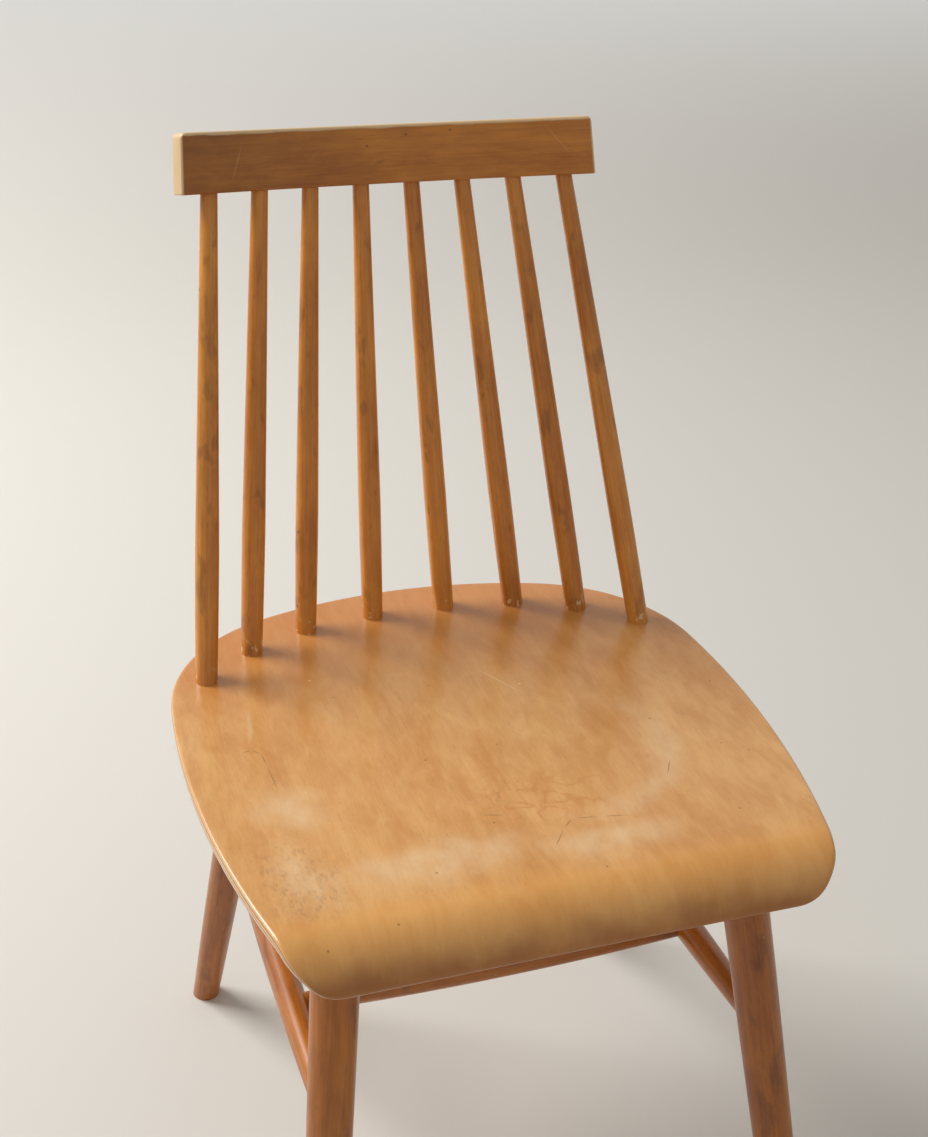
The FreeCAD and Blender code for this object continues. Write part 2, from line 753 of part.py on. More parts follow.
seat_underside = sheet_loft("seat_underside", "bearer_depth", "(seat_thickness + glue_gap)")
screw_bores = [screw_bore(point) for point in screw_places()]
spindle_bores = []
crest_bores = []
for number in range(8):
    foot, head = spindle_foot(number), spindle_head(number)
    spindle(number)
    spindle_bores.append(cylinder("spindle_foot_diameter / 2 + socket_room",
                                  "spindle_seat_depth + seat_thickness",
                                  pose(foot, head, "-spindle_seat_depth")))
    spindle_bores.append(cylinder(
        "spindle_foot_tenon / 2 + socket_room",
        "spindle_foot_tenon_length + socket_end_room + cut_spare",
        pose(foot, head, "-(spindle_seat_depth + spindle_foot_tenon_length + socket_end_room)")))
    reach = length(foot, head)
    crest_bores.append(cylinder("spindle_top_diameter / 2 + socket_room",
                                "spindle_crest_depth + crest_thickness",
                                pose(foot, head, f"({reach} - crest_thickness)")))
    crest_bores.append(cylinder(
        "spindle_crest_tenon / 2 + socket_room",
        "spindle_crest_depth + spindle_crest_tenon_length + socket_end_room",
        pose(foot, head, reach)))

cut("seat_shell", seat_blank(), spindle_bores, screw_bores)
cut("crest_rail", crest_blank(), crest_bores)
front_sockets = leg_sockets("front", -1) + leg_sockets("front", 1)
rear_sockets = leg_sockets("rear", -1) + leg_sockets("rear", 1)
cut("front_bearer", front_bearer_blank(), [seat_underside], front_sockets + screw_bores)
cut("rear_bearer", rear_bearer_blank(), [seat_underside],
    rear_sockets + spindle_bores + screw_bores)

cross_ends = []
for side in (-1, 1):
    name = SIDE_NAMES[side]
    rear = on_leg("rear", side, "stretcher_rear_height")
    front = on_leg("front", side, "stretcher_front_height")
    cross_ends.append((name, rear, front, between(rear, front, "cross_share")))
    leg_depth = "leg_top_diameter"
    for row, here, there in (("front", front, rear), ("rear", rear, front)):
        bore = mortise(here, there, "stretcher_end_diameter", "stretcher_past_axis", leg_depth)
        cut(f"{row}_{name}_leg", leg_blank(row, side), [bore])
for index, (name, rear, front, here) in enumerate(cross_ends):
    there = cross_ends[1 - index][3]
    rod = stretcher(f"{name}_stretcher_blank", rear, front, "stretcher_diameter",
                    "stretcher_end_diameter", "stretcher_past_axis",
                    "(leg_top_diameter / 2 + shoulder_margin)")
    bore = mortise(here, there, "cross_end_diameter", "cross_past_axis", "stretcher_diameter")
    cut(f"{name}_side_stretcher", rod, [bore])
cross = stretcher("cross_stretcher", cross_ends[0][3], cross_ends[1][3], "cross_diameter",
                  "cross_end_diameter", "cross_past_axis",
                  "(stretcher_diameter / 2 + shoulder_margin)")
NODES.append(cross)

screws = doc.addObject("Part::Compound", "bearer_screws")
screws.Links = [screw(point) for point in screw_places()]
screws.Label = "bearer_screws"
NODES.append(screws)

doc.recompute()
for item in doc.Objects:
    if "Invalid" in item.State or "Error" in item.State:
        raise RuntimeError(f"{item.Label} failed: {item.State}")
os.makedirs("parts", exist_ok=True)
for node in NODES:
    if node.Shape.isNull() or not node.Shape.isValid():
        raise RuntimeError(f"{node.Label} has no valid shape")
    node.Shape.exportStep(f"parts/{node.Label}.step")
    box = node.Shape.optimalBoundingBox(False)
    print(f"{node.Label}: {len(node.Shape.Solids)} solids, {node.Shape.Volume / 1000:.1f} cm3, "
          f"X {box.XMin:.1f} to {box.XMax:.1f}, Y {box.YMin:.1f} to {box.YMax:.1f}, "
          f"Z {box.ZMin:.1f} to {box.ZMax:.1f}")
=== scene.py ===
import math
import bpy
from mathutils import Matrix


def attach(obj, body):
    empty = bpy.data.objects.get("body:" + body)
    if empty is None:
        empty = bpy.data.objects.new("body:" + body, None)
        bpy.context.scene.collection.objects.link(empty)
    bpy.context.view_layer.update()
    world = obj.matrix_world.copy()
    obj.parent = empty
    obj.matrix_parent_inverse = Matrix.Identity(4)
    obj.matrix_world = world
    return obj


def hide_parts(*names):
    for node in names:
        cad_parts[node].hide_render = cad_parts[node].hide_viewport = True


bl_info = {
    "name": "Spindle-Back Chair",
    "version": (1, 0, 0),
    "blender": (4, 5, 0),
    "location": "3D View > Sidebar > Chair",
    "description": "Builds a lacquered chair with a moulded plywood seat and turned spindles",
    "category": "Object",
}

import bmesh
import bpy
from bpy.props import FloatProperty, FloatVectorProperty, IntProperty, PointerProperty
from mathutils import Matrix, Vector

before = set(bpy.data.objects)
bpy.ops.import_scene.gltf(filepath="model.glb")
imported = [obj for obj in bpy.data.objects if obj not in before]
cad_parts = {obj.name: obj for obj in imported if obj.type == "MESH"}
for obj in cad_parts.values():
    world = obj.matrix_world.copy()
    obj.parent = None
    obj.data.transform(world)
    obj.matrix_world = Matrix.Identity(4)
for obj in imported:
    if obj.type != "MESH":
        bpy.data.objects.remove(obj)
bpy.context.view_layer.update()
BODY = "root"

SHARP = math.radians(42)  # edges that bend more than this stay sharp to the eye
TOUCHING = 1e-6  # points nearer than this, in metres, are one
PROBE = 0.0005  # step outwards that tells which way the seat's rim faces


# Properties

def length(name, text, default):
    return FloatProperty(name=name, description=text, default=default, unit="LENGTH", precision=4)


def turn(name, text, degrees):
    return FloatProperty(name=name, description=text, default=math.radians(degrees),
                         subtype="ANGLE", unit="ROTATION")


def position(name, text, millimetres):
    return FloatVectorProperty(name=name, description=text, size=3, subtype="TRANSLATION",
                               unit="LENGTH", default=[mm / 1000 for mm in millimetres])


def linear(hex_colour):
    """An sRGB hex colour as linear RGB."""
    channels = [int(hex_colour[i:i + 2], 16) / 255 for i in (1, 3, 5)]
    return [c / 12.92 if c <= 0.04045 else ((c + 0.055) / 1.055) ** 2.4 for c in channels]


def colour(name, text, hex_colour):
    return FloatVectorProperty(name=name, description=text, size=3, subtype="COLOR",
                               min=0, max=1, default=linear(hex_colour))


class SeatSizes(bpy.types.PropertyGroup):
    """The moulded plywood seat."""
    height: length("Height", "Top of the seat above the floor", 0.434)
    thickness: length("Thickness", "Thickness of the glued veneers", 0.010)
    half_width: length("Half width", "Half the width at the widest place", 0.226)
    widest_at: length("Widest at", "Where the seat is widest, front to back", 0.005)
    rear: length("Rear", "Rear edge", 0.227)
    rear_radius: length("Rear radius", "Radius of the rear edge", 0.390)
    corner_radius: length("Corner radius", "Radius of the rear corners", 0.143)
    side_radius: length("Side radius", "Radius of the long sides", 0.830)
    front_corner: length("Front corner", "Radius of the front corners, from above", 0.030)
    lip_corner: length("Lip corner", "How far the lip's corners are rounded off", 0.014)
    edge_round: length("Edge rounding", "Rounding of the seat's rim", 0.003)
    dish: length("Dish", "How far the middle dips", 0.0045)
    hollow: length("Hollow", "How far the sides rise beside the dip", 0.005)
    least_hollow: length("Least hollow", "How far the sides rise at the ends", 0.0015)
    roll_start: length("Roll start", "Where the front begins to roll down", -0.1975)
    roll_radius: length("Roll radius", "Radius of the rolled front", 0.038)
    roll_angle: turn("Roll angle", "How far round the front rolls", 80)
    margin: length("Sheet margin", "Sheet beyond the outline in the mould", 0.015)
    divisions: IntProperty(name="Divisions", description="Faces along each side of the seat",
                           default=132, min=8)


class SpindleSizes(bpy.types.PropertyGroup):
    """The eight turned spindles of the back."""
    foot_inner: position("Inner foot", "Foot of the inner pair on the seat", (32.3, 186.7, 434))
    foot_second: position("Second foot", "Foot of the second pair on the seat", (93.7, 177.3, 434))
    foot_third: position("Third foot", "Foot of the third pair on the seat", (145.0, 154.0, 434))
    foot_outer: position("Outer foot", "Foot of the outer pair on the seat", (188.9, 117.1, 434))
    pitch: length("Pitch", "Distance between spindles at the crest rail", 0.0425)
    foot_diameter: length("Foot diameter", "Thickness at the seat", 0.0174)
    belly_diameter: length("Belly diameter", "Thickness at the thickest place", 0.0192)
    belly_height: length("Belly height", "Thickest place above the seat", 0.102)
    top_diameter: length("Top diameter", "Thickness at the crest rail", 0.0134)
    seat_depth: length("Seat depth", "How far the foot goes into the seat", 0.012)
    chip_height: length("Chip height", "How far above the seat the pale chips reach", 0.016)
    crest_depth: length("Crest depth", "How far the head goes into the crest rail", 0.0025)


class LegSizes(bpy.types.PropertyGroup):
    """The four splayed legs."""
    front_foot: position("Front foot", "Centre of the front foot on the floor", (194.6, -266.6, 0))
    front_top: position("Front top", "Front leg at the underside of its bearer", (150, -165.4, 398))
    rear_foot: position("Rear foot", "Centre of the rear foot on the floor", (192.2, 235.3, 0))
    rear_top: position("Rear top", "Rear leg at the underside of its bearer", (142.6, 146.4, 398))
    foot_diameter: length("Foot diameter", "Thickness at the floor", 0.0250)
    top_diameter: length("Top diameter", "Thickness at the bearer", 0.0344)
    bearer_depth: length("Bearer depth", "How far the leg goes into its bearer", 0.006)


class StretcherSizes(bpy.types.PropertyGroup):
    """The H of stretchers between the legs."""
    rear_height: length("Rear height", "Height of the side stretchers at the rear legs", 0.239)
    front_height: length("Front height", "Height of the side stretchers at the front legs", 0.262)
    diameter: length("Diameter", "Middle thickness of a side stretcher", 0.0238)
    end_diameter: length("End diameter", "Thickness of a side stretcher's ends", 0.0164)
    cross_share: FloatProperty(name="Cross share", default=0.67, min=0, max=1,
                               description="Where the cross stretcher meets the side ones")
    cross_diameter: length("Cross diameter", "Middle thickness of the cross stretcher", 0.0225)
    cross_end_diameter: length("Cross end diameter", "Thickness of its ends", 0.0145)


class CrestSizes(bpy.types.PropertyGroup):
    """The curved crest rail."""
    middle: position("Middle", "Middle of its lower edge", (0, 262.1, 790.6))
    lean: turn("Lean", "How far the rail leans back", 12.3)
    radius: length("Radius", "Radius of the bend", 0.587)
    span: length("Span", "Length of the lower edge round the bend", 0.3496)
    depth: length("Depth", "Height of the rail", 0.0462)
    thickness: length("Thickness", "Thickness of the rail", 0.0178)
    end_taper: length("End taper", "How far each end draws in at the top", 0.003)
    corner_round: length("Corner rounding", "Rounding of the upper corners", 0.005)
    edge_round: length("Edge rounding", "Rounding of the upper edges and ends", 0.003)
    lower_round: length("Lower rounding", "Rounding of the lower edges", 0.0012)


class ChairColours(bpy.types.PropertyGroup):
    """The colours of the woods, the screws and the backdrop."""
    veneer_light: colour("Veneer light", "Light fibres of the seat", "#E0AC6C")
    veneer_dark: colour("Veneer dark", "Dark fibres of the seat", "#C38442")
    veneer_rear: colour("Veneer rear", "Seat at the spindles, where hands seldom reach", "#BA7028")
    veneer_gold: colour("Veneer gold", "Seat where the lacquer is whole", "#DB9A48")
    # Painted shade: the lower part of the rolled front is darkened where it turns down, away from
    # the light
    veneer_lip_shade: colour("Veneer lip", "Lower part of the rolled front", "#8E4A08")
    veneer_worn: colour("Veneer worn", "Seat where the lacquer is worn through", "#E3C296")
    ply_pale: colour("Pale ply", "Veneers seen along the grain at the rim", "#E2C397")
    ply_dark: colour("Dark ply", "Veneers seen across the grain at the rim", "#B8814A")
    spindle_light: colour("Spindle light", "Light fibres of the spindles", "#DE9438")
    spindle_dark: colour("Spindle dark", "Dark fibres of the spindles", "#A85F10")
    leg_light: colour("Leg light", "Light fibres of legs and stretchers", "#C2761D")
    leg_dark: colour("Leg dark", "Dark fibres of legs and stretchers", "#874203")
    crest_light: colour("Crest light", "Light fibres of the crest rail", "#D08628")
    crest_dark: colour("Crest dark", "Dark fibres of the crest rail", "#9C550A")
    bare: colour("Bare wood", "Wood under chipped lacquer", "#E0C193")
    grime: colour("Grime", "Grey-brown dirt rubbed into worn lacquer", "#A2703F")
    dirt: colour("Dirt", "Dents and pits", "#55300F")
    zinc_bright: colour("Bright zinc", "Bright patches of the screws", "#B9B7B0")
    zinc_dull: colour("Dull zinc", "Dull patches of the screws", "#8E8A80")
    wall: colour("Wall", "Upper part of the backdrop", "#DCDBD8")
    floor: colour("Floor", "Floor and backdrop", "#D6D3CD")


class StageSizes(bpy.types.PropertyGroup):
    """The camera and the studio."""
    camera_place: position("Camera place", "Where the camera stands", (-334.8, -966.1, 1104.2))
    camera_yaw: turn("Camera yaw", "Turn of the camera from straight ahead to the right", 18.49)
    camera_pitch: turn("Camera pitch", "Tilt of the camera down", 27.62)
    camera_roll: turn("Camera roll", "Roll of the camera", 1.57)
    camera_lens: FloatProperty(name="Lens", description="Focal length for a 36 mm long side",
                               default=49.53, unit="CAMERA")
    window_place: position("Window place", "Middle of the window light", (-2200, 1900, 3000))
    window_aim: position("Window aim", "What the window light faces", (0, 0, 500))
    window_width: length("Window width", "Width of the window light", 1.9)
    window_height: length("Window height", "Height of the window light", 1.7)
    key_power: FloatProperty(name="Key light", description="Power of the window light",
                             default=145, unit="POWER")
    sky_strength: FloatProperty(name="Sky", description="Strength of the light all round",
                                default=0.46)


class ChairSettings(bpy.types.PropertyGroup):
    """Everything about the chair that can be set."""
    seat: PointerProperty(type=SeatSizes)
    spindles: PointerProperty(type=SpindleSizes)
    legs: PointerProperty(type=LegSizes)
    stretchers: PointerProperty(type=StretcherSizes)
    crest: PointerProperty(type=CrestSizes)
    colours: PointerProperty(type=ChairColours)
    stage: PointerProperty(type=StageSizes)


# Materials

# Between two values, masks and tones change smoothly
SMOOTH = {"interpolation_type": "SMOOTHSTEP"}

VENEER = 0.0014  # thickness of one glued veneer, in metres

# Marks of use on the seat's flat plan, in millimetres across and along
WORN_ZONES = (
    # centre, radii, turn in degrees, softness
    ((-75, -155), (95, 34), 4, 0.8),
    ((45, -163), (75, 24), 0, 0.8),
    ((-160, -70), (34, 44), 20, 0.8),
    ((-168, -150), (32, 60), 10, 0.9),
)
PALE_SCRATCH = (((26.9, 86.4), (56.3, 32.3)),)
PALE_SMEAR = (((-164.8, 67.1), (-171.2, 19.8)),)
PALE_SPOTS = ((55.7, 51.1), (-108.2, 98.5))
PITS = (
    (9.8, -27.3), (205.3, 7.3), (136.3, -28.3), (174.4, -77.1), (-25.6, -123.9),
    (-49.2, -33.4), (-81.1, -167.3), (190.3, -91.7), (149.5, -157.9), (32.4, -192.7),
    (-168, -218), (-119.3, -209),
)
DARK_LINES = (
    ((-97, 70.8), (-93, 69.0)),
    ((-17.8, 68.8), (-15, 67)),
    ((-180.9, 8.9), (-172.9, 11.1), (-166.5, 4.8), (-165.8, -9), (-163.8, -47.5)),
    ((5.6, -163.5), (19.8, -144.1), (29.4, -134.7), (50.3, -138.2), (70.7, -142.8)),
    ((-32.2, -112.3), (-14.3, -117.4)),
    ((129.2, -82.8), (116.2, -106.1)),
)

# Marks on the crest rail's flat front, in millimetres from its middle and its lower edge
CREST_PITS = ((-16.8, 30.0), (53.7, 39.8))
CREST_RUBS = (((-120.7, 37.5), (-133.4, 5.2)), ((132.5, 41.0), (155.4, 15.1)))


def add(tree, kind, links=(), **settings):
    """A node with its settings. Links gives inputs in order or by name: each takes a value, a
    colour without alpha, another node's output, or a node that stands for its first output."""
    node = tree.nodes.new(kind)
    for name, value in settings.items():
        setattr(node, name, value)
    for socket, value in links.items() if isinstance(links, dict) else enumerate(links):
        if isinstance(value, bpy.types.Node):
            value = next(output for output in value.outputs if output.enabled)
        if isinstance(value, bpy.types.NodeSocket):
            tree.links.new(value, node.inputs[socket])
        elif node.inputs[socket].type == "RGBA":
            node.inputs[socket].default_value = (*value, 1.0)
        else:
            node.inputs[socket].default_value = value
    return node


def new_material(name):
    """A material with no nodes yet, and its tree."""
    material = bpy.data.materials.new(name)
    material.use_nodes = True
    material.node_tree.nodes.clear()
    return material, material.node_tree


def patches(tree, place, per_metre, detail=3.0, rough=0.5, twist=0.0):
    """Cloudy tone with so many patches in a metre across, deep and along the grain."""
    scaled = add(tree, "ShaderNodeVectorMath", (place, per_metre), operation="MULTIPLY")
    return add(tree, "ShaderNodeTexNoise",
               {"Vector": scaled, "Scale": 1.0, "Detail": detail, "Roughness": rough,
                "Distortion": twist})


def mottle(tree, place, per_metre, low, high, start=0.0, end=1.0, **looks):
    """Patches made into a value that goes from start to end as the tone goes from low to high."""
    return add(tree, "ShaderNodeMapRange",
               (patches(tree, place, per_metre, **looks), low, high, start, end), **SMOOTH)


def either(tree, first, *others):
    """The strongest of several masks."""
    for other in others:
        first = add(tree, "ShaderNodeMath", (first, other), operation="MAXIMUM")
    return first


def overlap(tree, first, *others):
    """The product of several masks."""
    for other in others:
        first = add(tree, "ShaderNodeMath", (first, other), operation="MULTIPLY")
    return first


def lay_over(tree, wood, colour, share, *masks):
    """A colour laid over the wood where all the masks are 1, at a share of its full strength."""
    return add(tree, "ShaderNodeMix", {0: overlap(tree, share, *masks), 6: wood, 7: colour},
               data_type="RGBA")


def darken(tree, wood, pattern, low, high, start, end):
    """The wood times a factor that goes from start to end as the pattern goes from low to high."""
    factor = add(tree, "ShaderNodeMapRange", (pattern, low, high, start, end), **SMOOTH)
    return add(tree, "ShaderNodeVectorMath", {0: wood, "Scale": factor}, operation="SCALE")


def reach_from(tree, place, centre, radii, degrees):
    """How far out a flat point lies in an ellipse given in millimetres; 1 is its rim."""
    local = add(tree, "ShaderNodeMapping",
                {"Vector": place, "Location": (centre[0] / 1000, centre[1] / 1000, 0),
                 "Rotation": (0, 0, math.radians(degrees)),
                 "Scale": (radii[0] / 1000, radii[1] / 1000, 1)}, vector_type="TEXTURE")
    return add(tree, "ShaderNodeVectorMath", (local,), operation="LENGTH")


def mark(tree, place, centre, radii, degrees, soft):
    """A mask that is 1 inside an ellipse and fades out towards its rim."""
    reach = reach_from(tree, place, centre, radii, degrees)
    return add(tree, "ShaderNodeMapRange", (reach, 1.0, 1.0 - soft), **SMOOTH)


def ring_mark(tree, place, centre, radii, width):
    """A mask along the rim of an ellipse; width is a share of its radius."""
    reach = reach_from(tree, place, centre, radii, 0)
    off = add(tree, "ShaderNodeMath", (reach, 1.0), operation="SUBTRACT")
    gap = add(tree, "ShaderNodeMath", (off,), operation="ABSOLUTE")
    return add(tree, "ShaderNodeMapRange", (gap, width, 0.0), **SMOOTH)


def scratches(tree, place, paths, width):
    """A mask along scratches, each straight from point to point, in millimetres."""
    masks = []
    for path in paths:
        for start, end in zip(path, path[1:]):
            run = Vector(end) - Vector(start)
            masks.append(mark(tree, place, (Vector(start) + Vector(end)) / 2,
                              (run.length / 2 + width, width),
                              math.degrees(math.atan2(run.y, run.x)), soft=0.7))
    return either(tree, *masks)


def spots(tree, place, centres, radius):
    """A mask on round spots, in millimetres."""
    return either(tree, *[mark(tree, place, centre, (radius, radius), 0, soft=0.6)
                          for centre in centres])


def fleck(tree, place, per_metre, share, size):
    """Sparse round specks: how many a metre, the share that shows, and their size."""
    scaled = add(tree, "ShaderNodeVectorMath", (place, (per_metre,) * 3), operation="MULTIPLY")
    cells = add(tree, "ShaderNodeTexVoronoi", {"Vector": scaled, "Scale": 1.0})
    chance = add(tree, "ShaderNodeSeparateColor", (cells.outputs["Color"],))
    shown = add(tree, "ShaderNodeMath", (chance, share), operation="LESS_THAN")
    specks = add(tree, "ShaderNodeMapRange",
                 (cells.outputs["Distance"], size, size * 0.5), **SMOOTH)
    return overlap(tree, specks, shown)


def fibres(tree, place, light, dark, streak=0.3):
    """Birch under lacquer: clouds of tone 67 and 17 mm wide, streaks of 2.5 mm, threads of
    0.8 mm and short dark pores. Real pores are about 0.1 mm wide, too fine to show, so they
    are drawn 1 mm wide. The streak is the share of the streaks in the tone."""
    tone = patches(tree, place, (15, 15, 5), detail=5, rough=0.6, twist=0.8)
    clouds = patches(tree, place, (60, 60, 24), detail=4, rough=0.62, twist=0.6)
    streaks = patches(tree, place, (400, 400, 14), detail=4, rough=0.62)
    mixed = 0.0
    for pattern, share in ((tone, 0.5), (clouds, 0.5 - streak), (streaks, streak)):
        level = add(tree, "ShaderNodeMapRange", (pattern, 0.32, 0.68), **SMOOTH)
        mixed = add(tree, "ShaderNodeMath", (level, share, mixed), operation="MULTIPLY_ADD")
    wood = add(tree, "ShaderNodeMix", {0: mixed, 6: light, 7: dark}, data_type="RGBA")
    threads = patches(tree, place, (1300, 1300, 60), detail=2, rough=0.6)
    pores = patches(tree, place, (900, 900, 120), detail=1)
    wood = darken(tree, wood, threads, 0.3, 0.7, 0.95, 1.04)
    return darken(tree, wood, pores, 0.67, 0.75, 1.0, 0.8)


def lacquer(tree, base, rough, relief, bump=0.25):
    """Satin lacquer over the wood, which gives broad soft highlights, and the output."""
    ripple = add(tree, "ShaderNodeBump", {"Height": relief, "Strength": bump, "Distance": 0.0001})
    surface = add(tree, "ShaderNodeBsdfPrincipled",
                  {"Base Color": base, "Roughness": rough, "Normal": ripple,
                   "IOR": 1.5, "Coat Weight": 0.25, "Coat Roughness": 0.22})
    add(tree, "ShaderNodeOutputMaterial", (surface,))


def lacquered_turned_birch(settings, name, light, dark, chipped_to=None):
    """Birch turned on a lathe and lacquered: fibres run along the rod, with darker blotches,
    dents and a few pale flecks. Pale chips show below a height along the rod, if given."""
    material, tree = new_material(name)
    place = add(tree, "ShaderNodeAttribute", attribute_name="grain").outputs["Vector"]
    blotches = mottle(tree, place, (70, 70, 30), 0.56, 0.72, twist=0.4)
    wood = darken(tree, fibres(tree, place, light, dark), blotches, 0.0, 1.0, 1.0, 0.72)
    wood = lay_over(tree, wood, settings.colours.dirt, 0.7, fleck(tree, place, 55, 0.10, 0.09))
    pale = mottle(tree, place, (120, 120, 60), 0.77, 0.80, detail=2)
    if chipped_to:
        along = add(tree, "ShaderNodeSeparateXYZ", (place,)).outputs["Z"]
        low = add(tree, "ShaderNodeMapRange", (along, chipped_to, chipped_to * 0.55), **SMOOTH)
        chips = mottle(tree, place, (190, 190, 150), 0.60, 0.64, detail=2)
        pale = either(tree, pale, overlap(tree, chips, low))
    wood = lay_over(tree, wood, settings.colours.bare, 0.8, pale)
    lacquer(tree, wood, mottle(tree, place, (60, 60, 12), 0.3, 0.7, 0.28, 0.38),
            patches(tree, place, (700, 700, 14)))
    return material


def lacquered_plywood(settings):
    """Moulded plywood with a birch face veneer: honey-coloured under satin lacquer, redder at
    the spindles, golden over the roll, rubbed pale where people sit and scuffed at the left."""
    colours = settings.colours
    seat = settings.seat
    material, tree = new_material("lacquered_moulded_plywood")
    place = add(tree, "ShaderNodeAttribute", attribute_name="grain").outputs["Vector"]
    across, depth, along = add(tree, "ShaderNodeSeparateXYZ", (place,)).outputs
    flat = add(tree, "ShaderNodeCombineXYZ", {"X": across, "Y": along})
    # Worn zones have ragged edges, up to 15 mm in and out
    wobble = add(tree, "ShaderNodeTexNoise", {"Vector": place, "Scale": 28.0, "Detail": 4.0})
    shift = add(tree, "ShaderNodeVectorMath", (wobble.outputs["Color"], (-0.5, -0.5, -0.5)),
                operation="ADD")
    ragged = add(tree, "ShaderNodeVectorMath", (shift, (0.030, 0.030, 0), flat),
                 operation="MULTIPLY_ADD")
    run = add(tree, "ShaderNodeSeparateXYZ", (ragged,)).outputs["Y"]

    wood = fibres(tree, place, colours.veneer_light, colours.veneer_dark, 0.12)
    # The lip's dark brown below the roll is painted shade, where the roll turns down and away from
    # the light
    for colour, low, high, share in (
            (colours.veneer_rear, 0.0, 0.2, 0.6),
            (colours.veneer_gold, seat.roll_start + 0.020, seat.roll_start - 0.006, 0.45),
            (colours.veneer_lip_shade, seat.roll_start - 0.026, seat.roll_start - 0.053, 0.75)):
        zone = add(tree, "ShaderNodeMapRange", (run, low, high), **SMOOTH)
        wood = lay_over(tree, wood, colour, share, zone)

    scuffed = either(tree, mark(tree, ragged, (-172, -150), (36, 62), 12, 0.6),
                     overlap(tree, mark(tree, ragged, (-8, -90), (34, 16), 10, 0.8), 0.7))
    speckle = mottle(tree, place, (230, 230, 130), 0.5, 0.62, rough=0.7)
    wood = lay_over(tree, wood, colours.grime, 0.6, scuffed, speckle)

    # Fine growth rings wander through the middle of the veneer
    bends = overlap(tree, patches(tree, ragged, (26, 30, 1), detail=2, rough=0.4), 34.0)
    rings = add(tree, "ShaderNodeMath", (bends,), operation="SINE")
    figure = add(tree, "ShaderNodeMapRange", (rings, 0.7, 1.0), **SMOOTH)
    wood = lay_over(tree, wood, colours.veneer_rear, 0.4, figure,
                    mark(tree, flat, (20, -110), (95, 50), 0, 0.9))

    hollow = overlap(tree, ring_mark(tree, ragged, (38, -45), (100, 92), 0.2),
                     mark(tree, flat, (95, -75), (120, 110), 0, 0.8))
    worn = either(tree, hollow, *[mark(tree, ragged, *zone) for zone in WORN_ZONES])
    rubbed = mottle(tree, place, (60, 60, 36), 0.36, 0.64, 0.45, 1.0, detail=5, rough=0.65)
    worn = overlap(tree, worn, rubbed)
    wood = lay_over(tree, wood, colours.veneer_worn, 0.62, worn)

    pale = either(tree, scratches(tree, flat, PALE_SCRATCH, 0.9),
                  spots(tree, flat, PALE_SPOTS, 1.6),
                  overlap(tree, scratches(tree, flat, PALE_SMEAR, 3.0), 0.5))
    wood = lay_over(tree, wood, colours.bare, 0.75, pale)
    dark = either(tree, spots(tree, flat, PITS, 1.3), scratches(tree, flat, DARK_LINES, 0.7),
                  fleck(tree, place, 32, 0.12, 0.05))
    wood = lay_over(tree, wood, colours.dirt, 0.5, dark)

    # The rim shows the glued veneers by turns along and across the grain
    wave = add(tree, "ShaderNodeMath", (overlap(tree, depth, math.pi / VENEER),),
               operation="SINE")
    along_grain = add(tree, "ShaderNodeMapRange", (wave, -0.4, 0.4), **SMOOTH)
    plies = add(tree, "ShaderNodeMix",
                {0: along_grain, 6: colours.ply_dark, 7: colours.ply_pale}, data_type="RGBA")
    cut = [add(tree, "ShaderNodeMapRange", (depth, skin, core), **SMOOTH)
           for skin, core in ((0.0006, 0.0012),
                              (seat.thickness - 0.0006, seat.thickness - 0.0012))]
    wood = lay_over(tree, wood, plies, 0.85, *cut)
    rough = add(tree, "ShaderNodeMapRange", (worn, 0.0, 1.0, 0.27, 0.44), **SMOOTH)
    lacquer(tree, wood, rough, patches(tree, place, (300, 300, 30), detail=4), 0.2)
    return material


def lacquered_bent_birch(settings):
    """Steamed and bent birch, lacquered: darker towards the left, which is painted shade, and pale
    along the top and at the ends, partly worn where hands and walls rub it and partly a painted
    highlight where the light catches them."""
    colours = settings.colours
    crest = settings.crest
    material, tree = new_material("lacquered_bent_birch")
    place = add(tree, "ShaderNodeAttribute", attribute_name="grain").outputs["Vector"]
    height, _, around = add(tree, "ShaderNodeSeparateXYZ", (place,)).outputs
    flat = add(tree, "ShaderNodeCombineXYZ", {"X": around, "Y": height})
    wood = fibres(tree, place, colours.crest_light, colours.crest_dark, 0.25)
    # Painted shade: the wood darkens to 0.7 towards the left end, where the rail lies in shade
    wood = darken(tree, wood, around, -crest.span / 2, 0.02, 0.70, 1.0)
    dark = either(tree, spots(tree, flat, CREST_PITS, 1.3), fleck(tree, place, 28, 0.08, 0.05),
                  overlap(tree, mark(tree, flat, (-6.4, 17.0), (7, 2.2), 20, 0.9), 0.5))
    wood = lay_over(tree, wood, colours.dirt, 0.7, dark)
    wood = lay_over(tree, wood, colours.bare, 0.16, scratches(tree, flat, CREST_RUBS, 0.9))

    # Pale top edge and ends: partly wear where hands and walls rub, partly a painted highlight
    # where the window light catches the top and the ends
    ragged = add(tree, "ShaderNodeMath", (patches(tree, place, (130, 130, 45)), 0.0022, height),
                 operation="MULTIPLY_ADD")
    reach = add(tree, "ShaderNodeMath", (around,), operation="ABSOLUTE")
    past = add(tree, "ShaderNodeMath", (height, crest.end_taper / crest.depth, reach),
               operation="MULTIPLY_ADD")
    rubbed = [add(tree, "ShaderNodeMapRange", (level, limit - inner, limit - outer), **SMOOTH)
              for level, limit, inner, outer in ((ragged, crest.depth, 0.0024, 0.0008),
                                                 (past, crest.span / 2, 0.0022, 0.0006))]
    wood = lay_over(tree, wood, colours.bare, 0.85, either(tree, *rubbed))
    lacquer(tree, wood, 0.34, patches(tree, place, (500, 500, 12)))
    return material


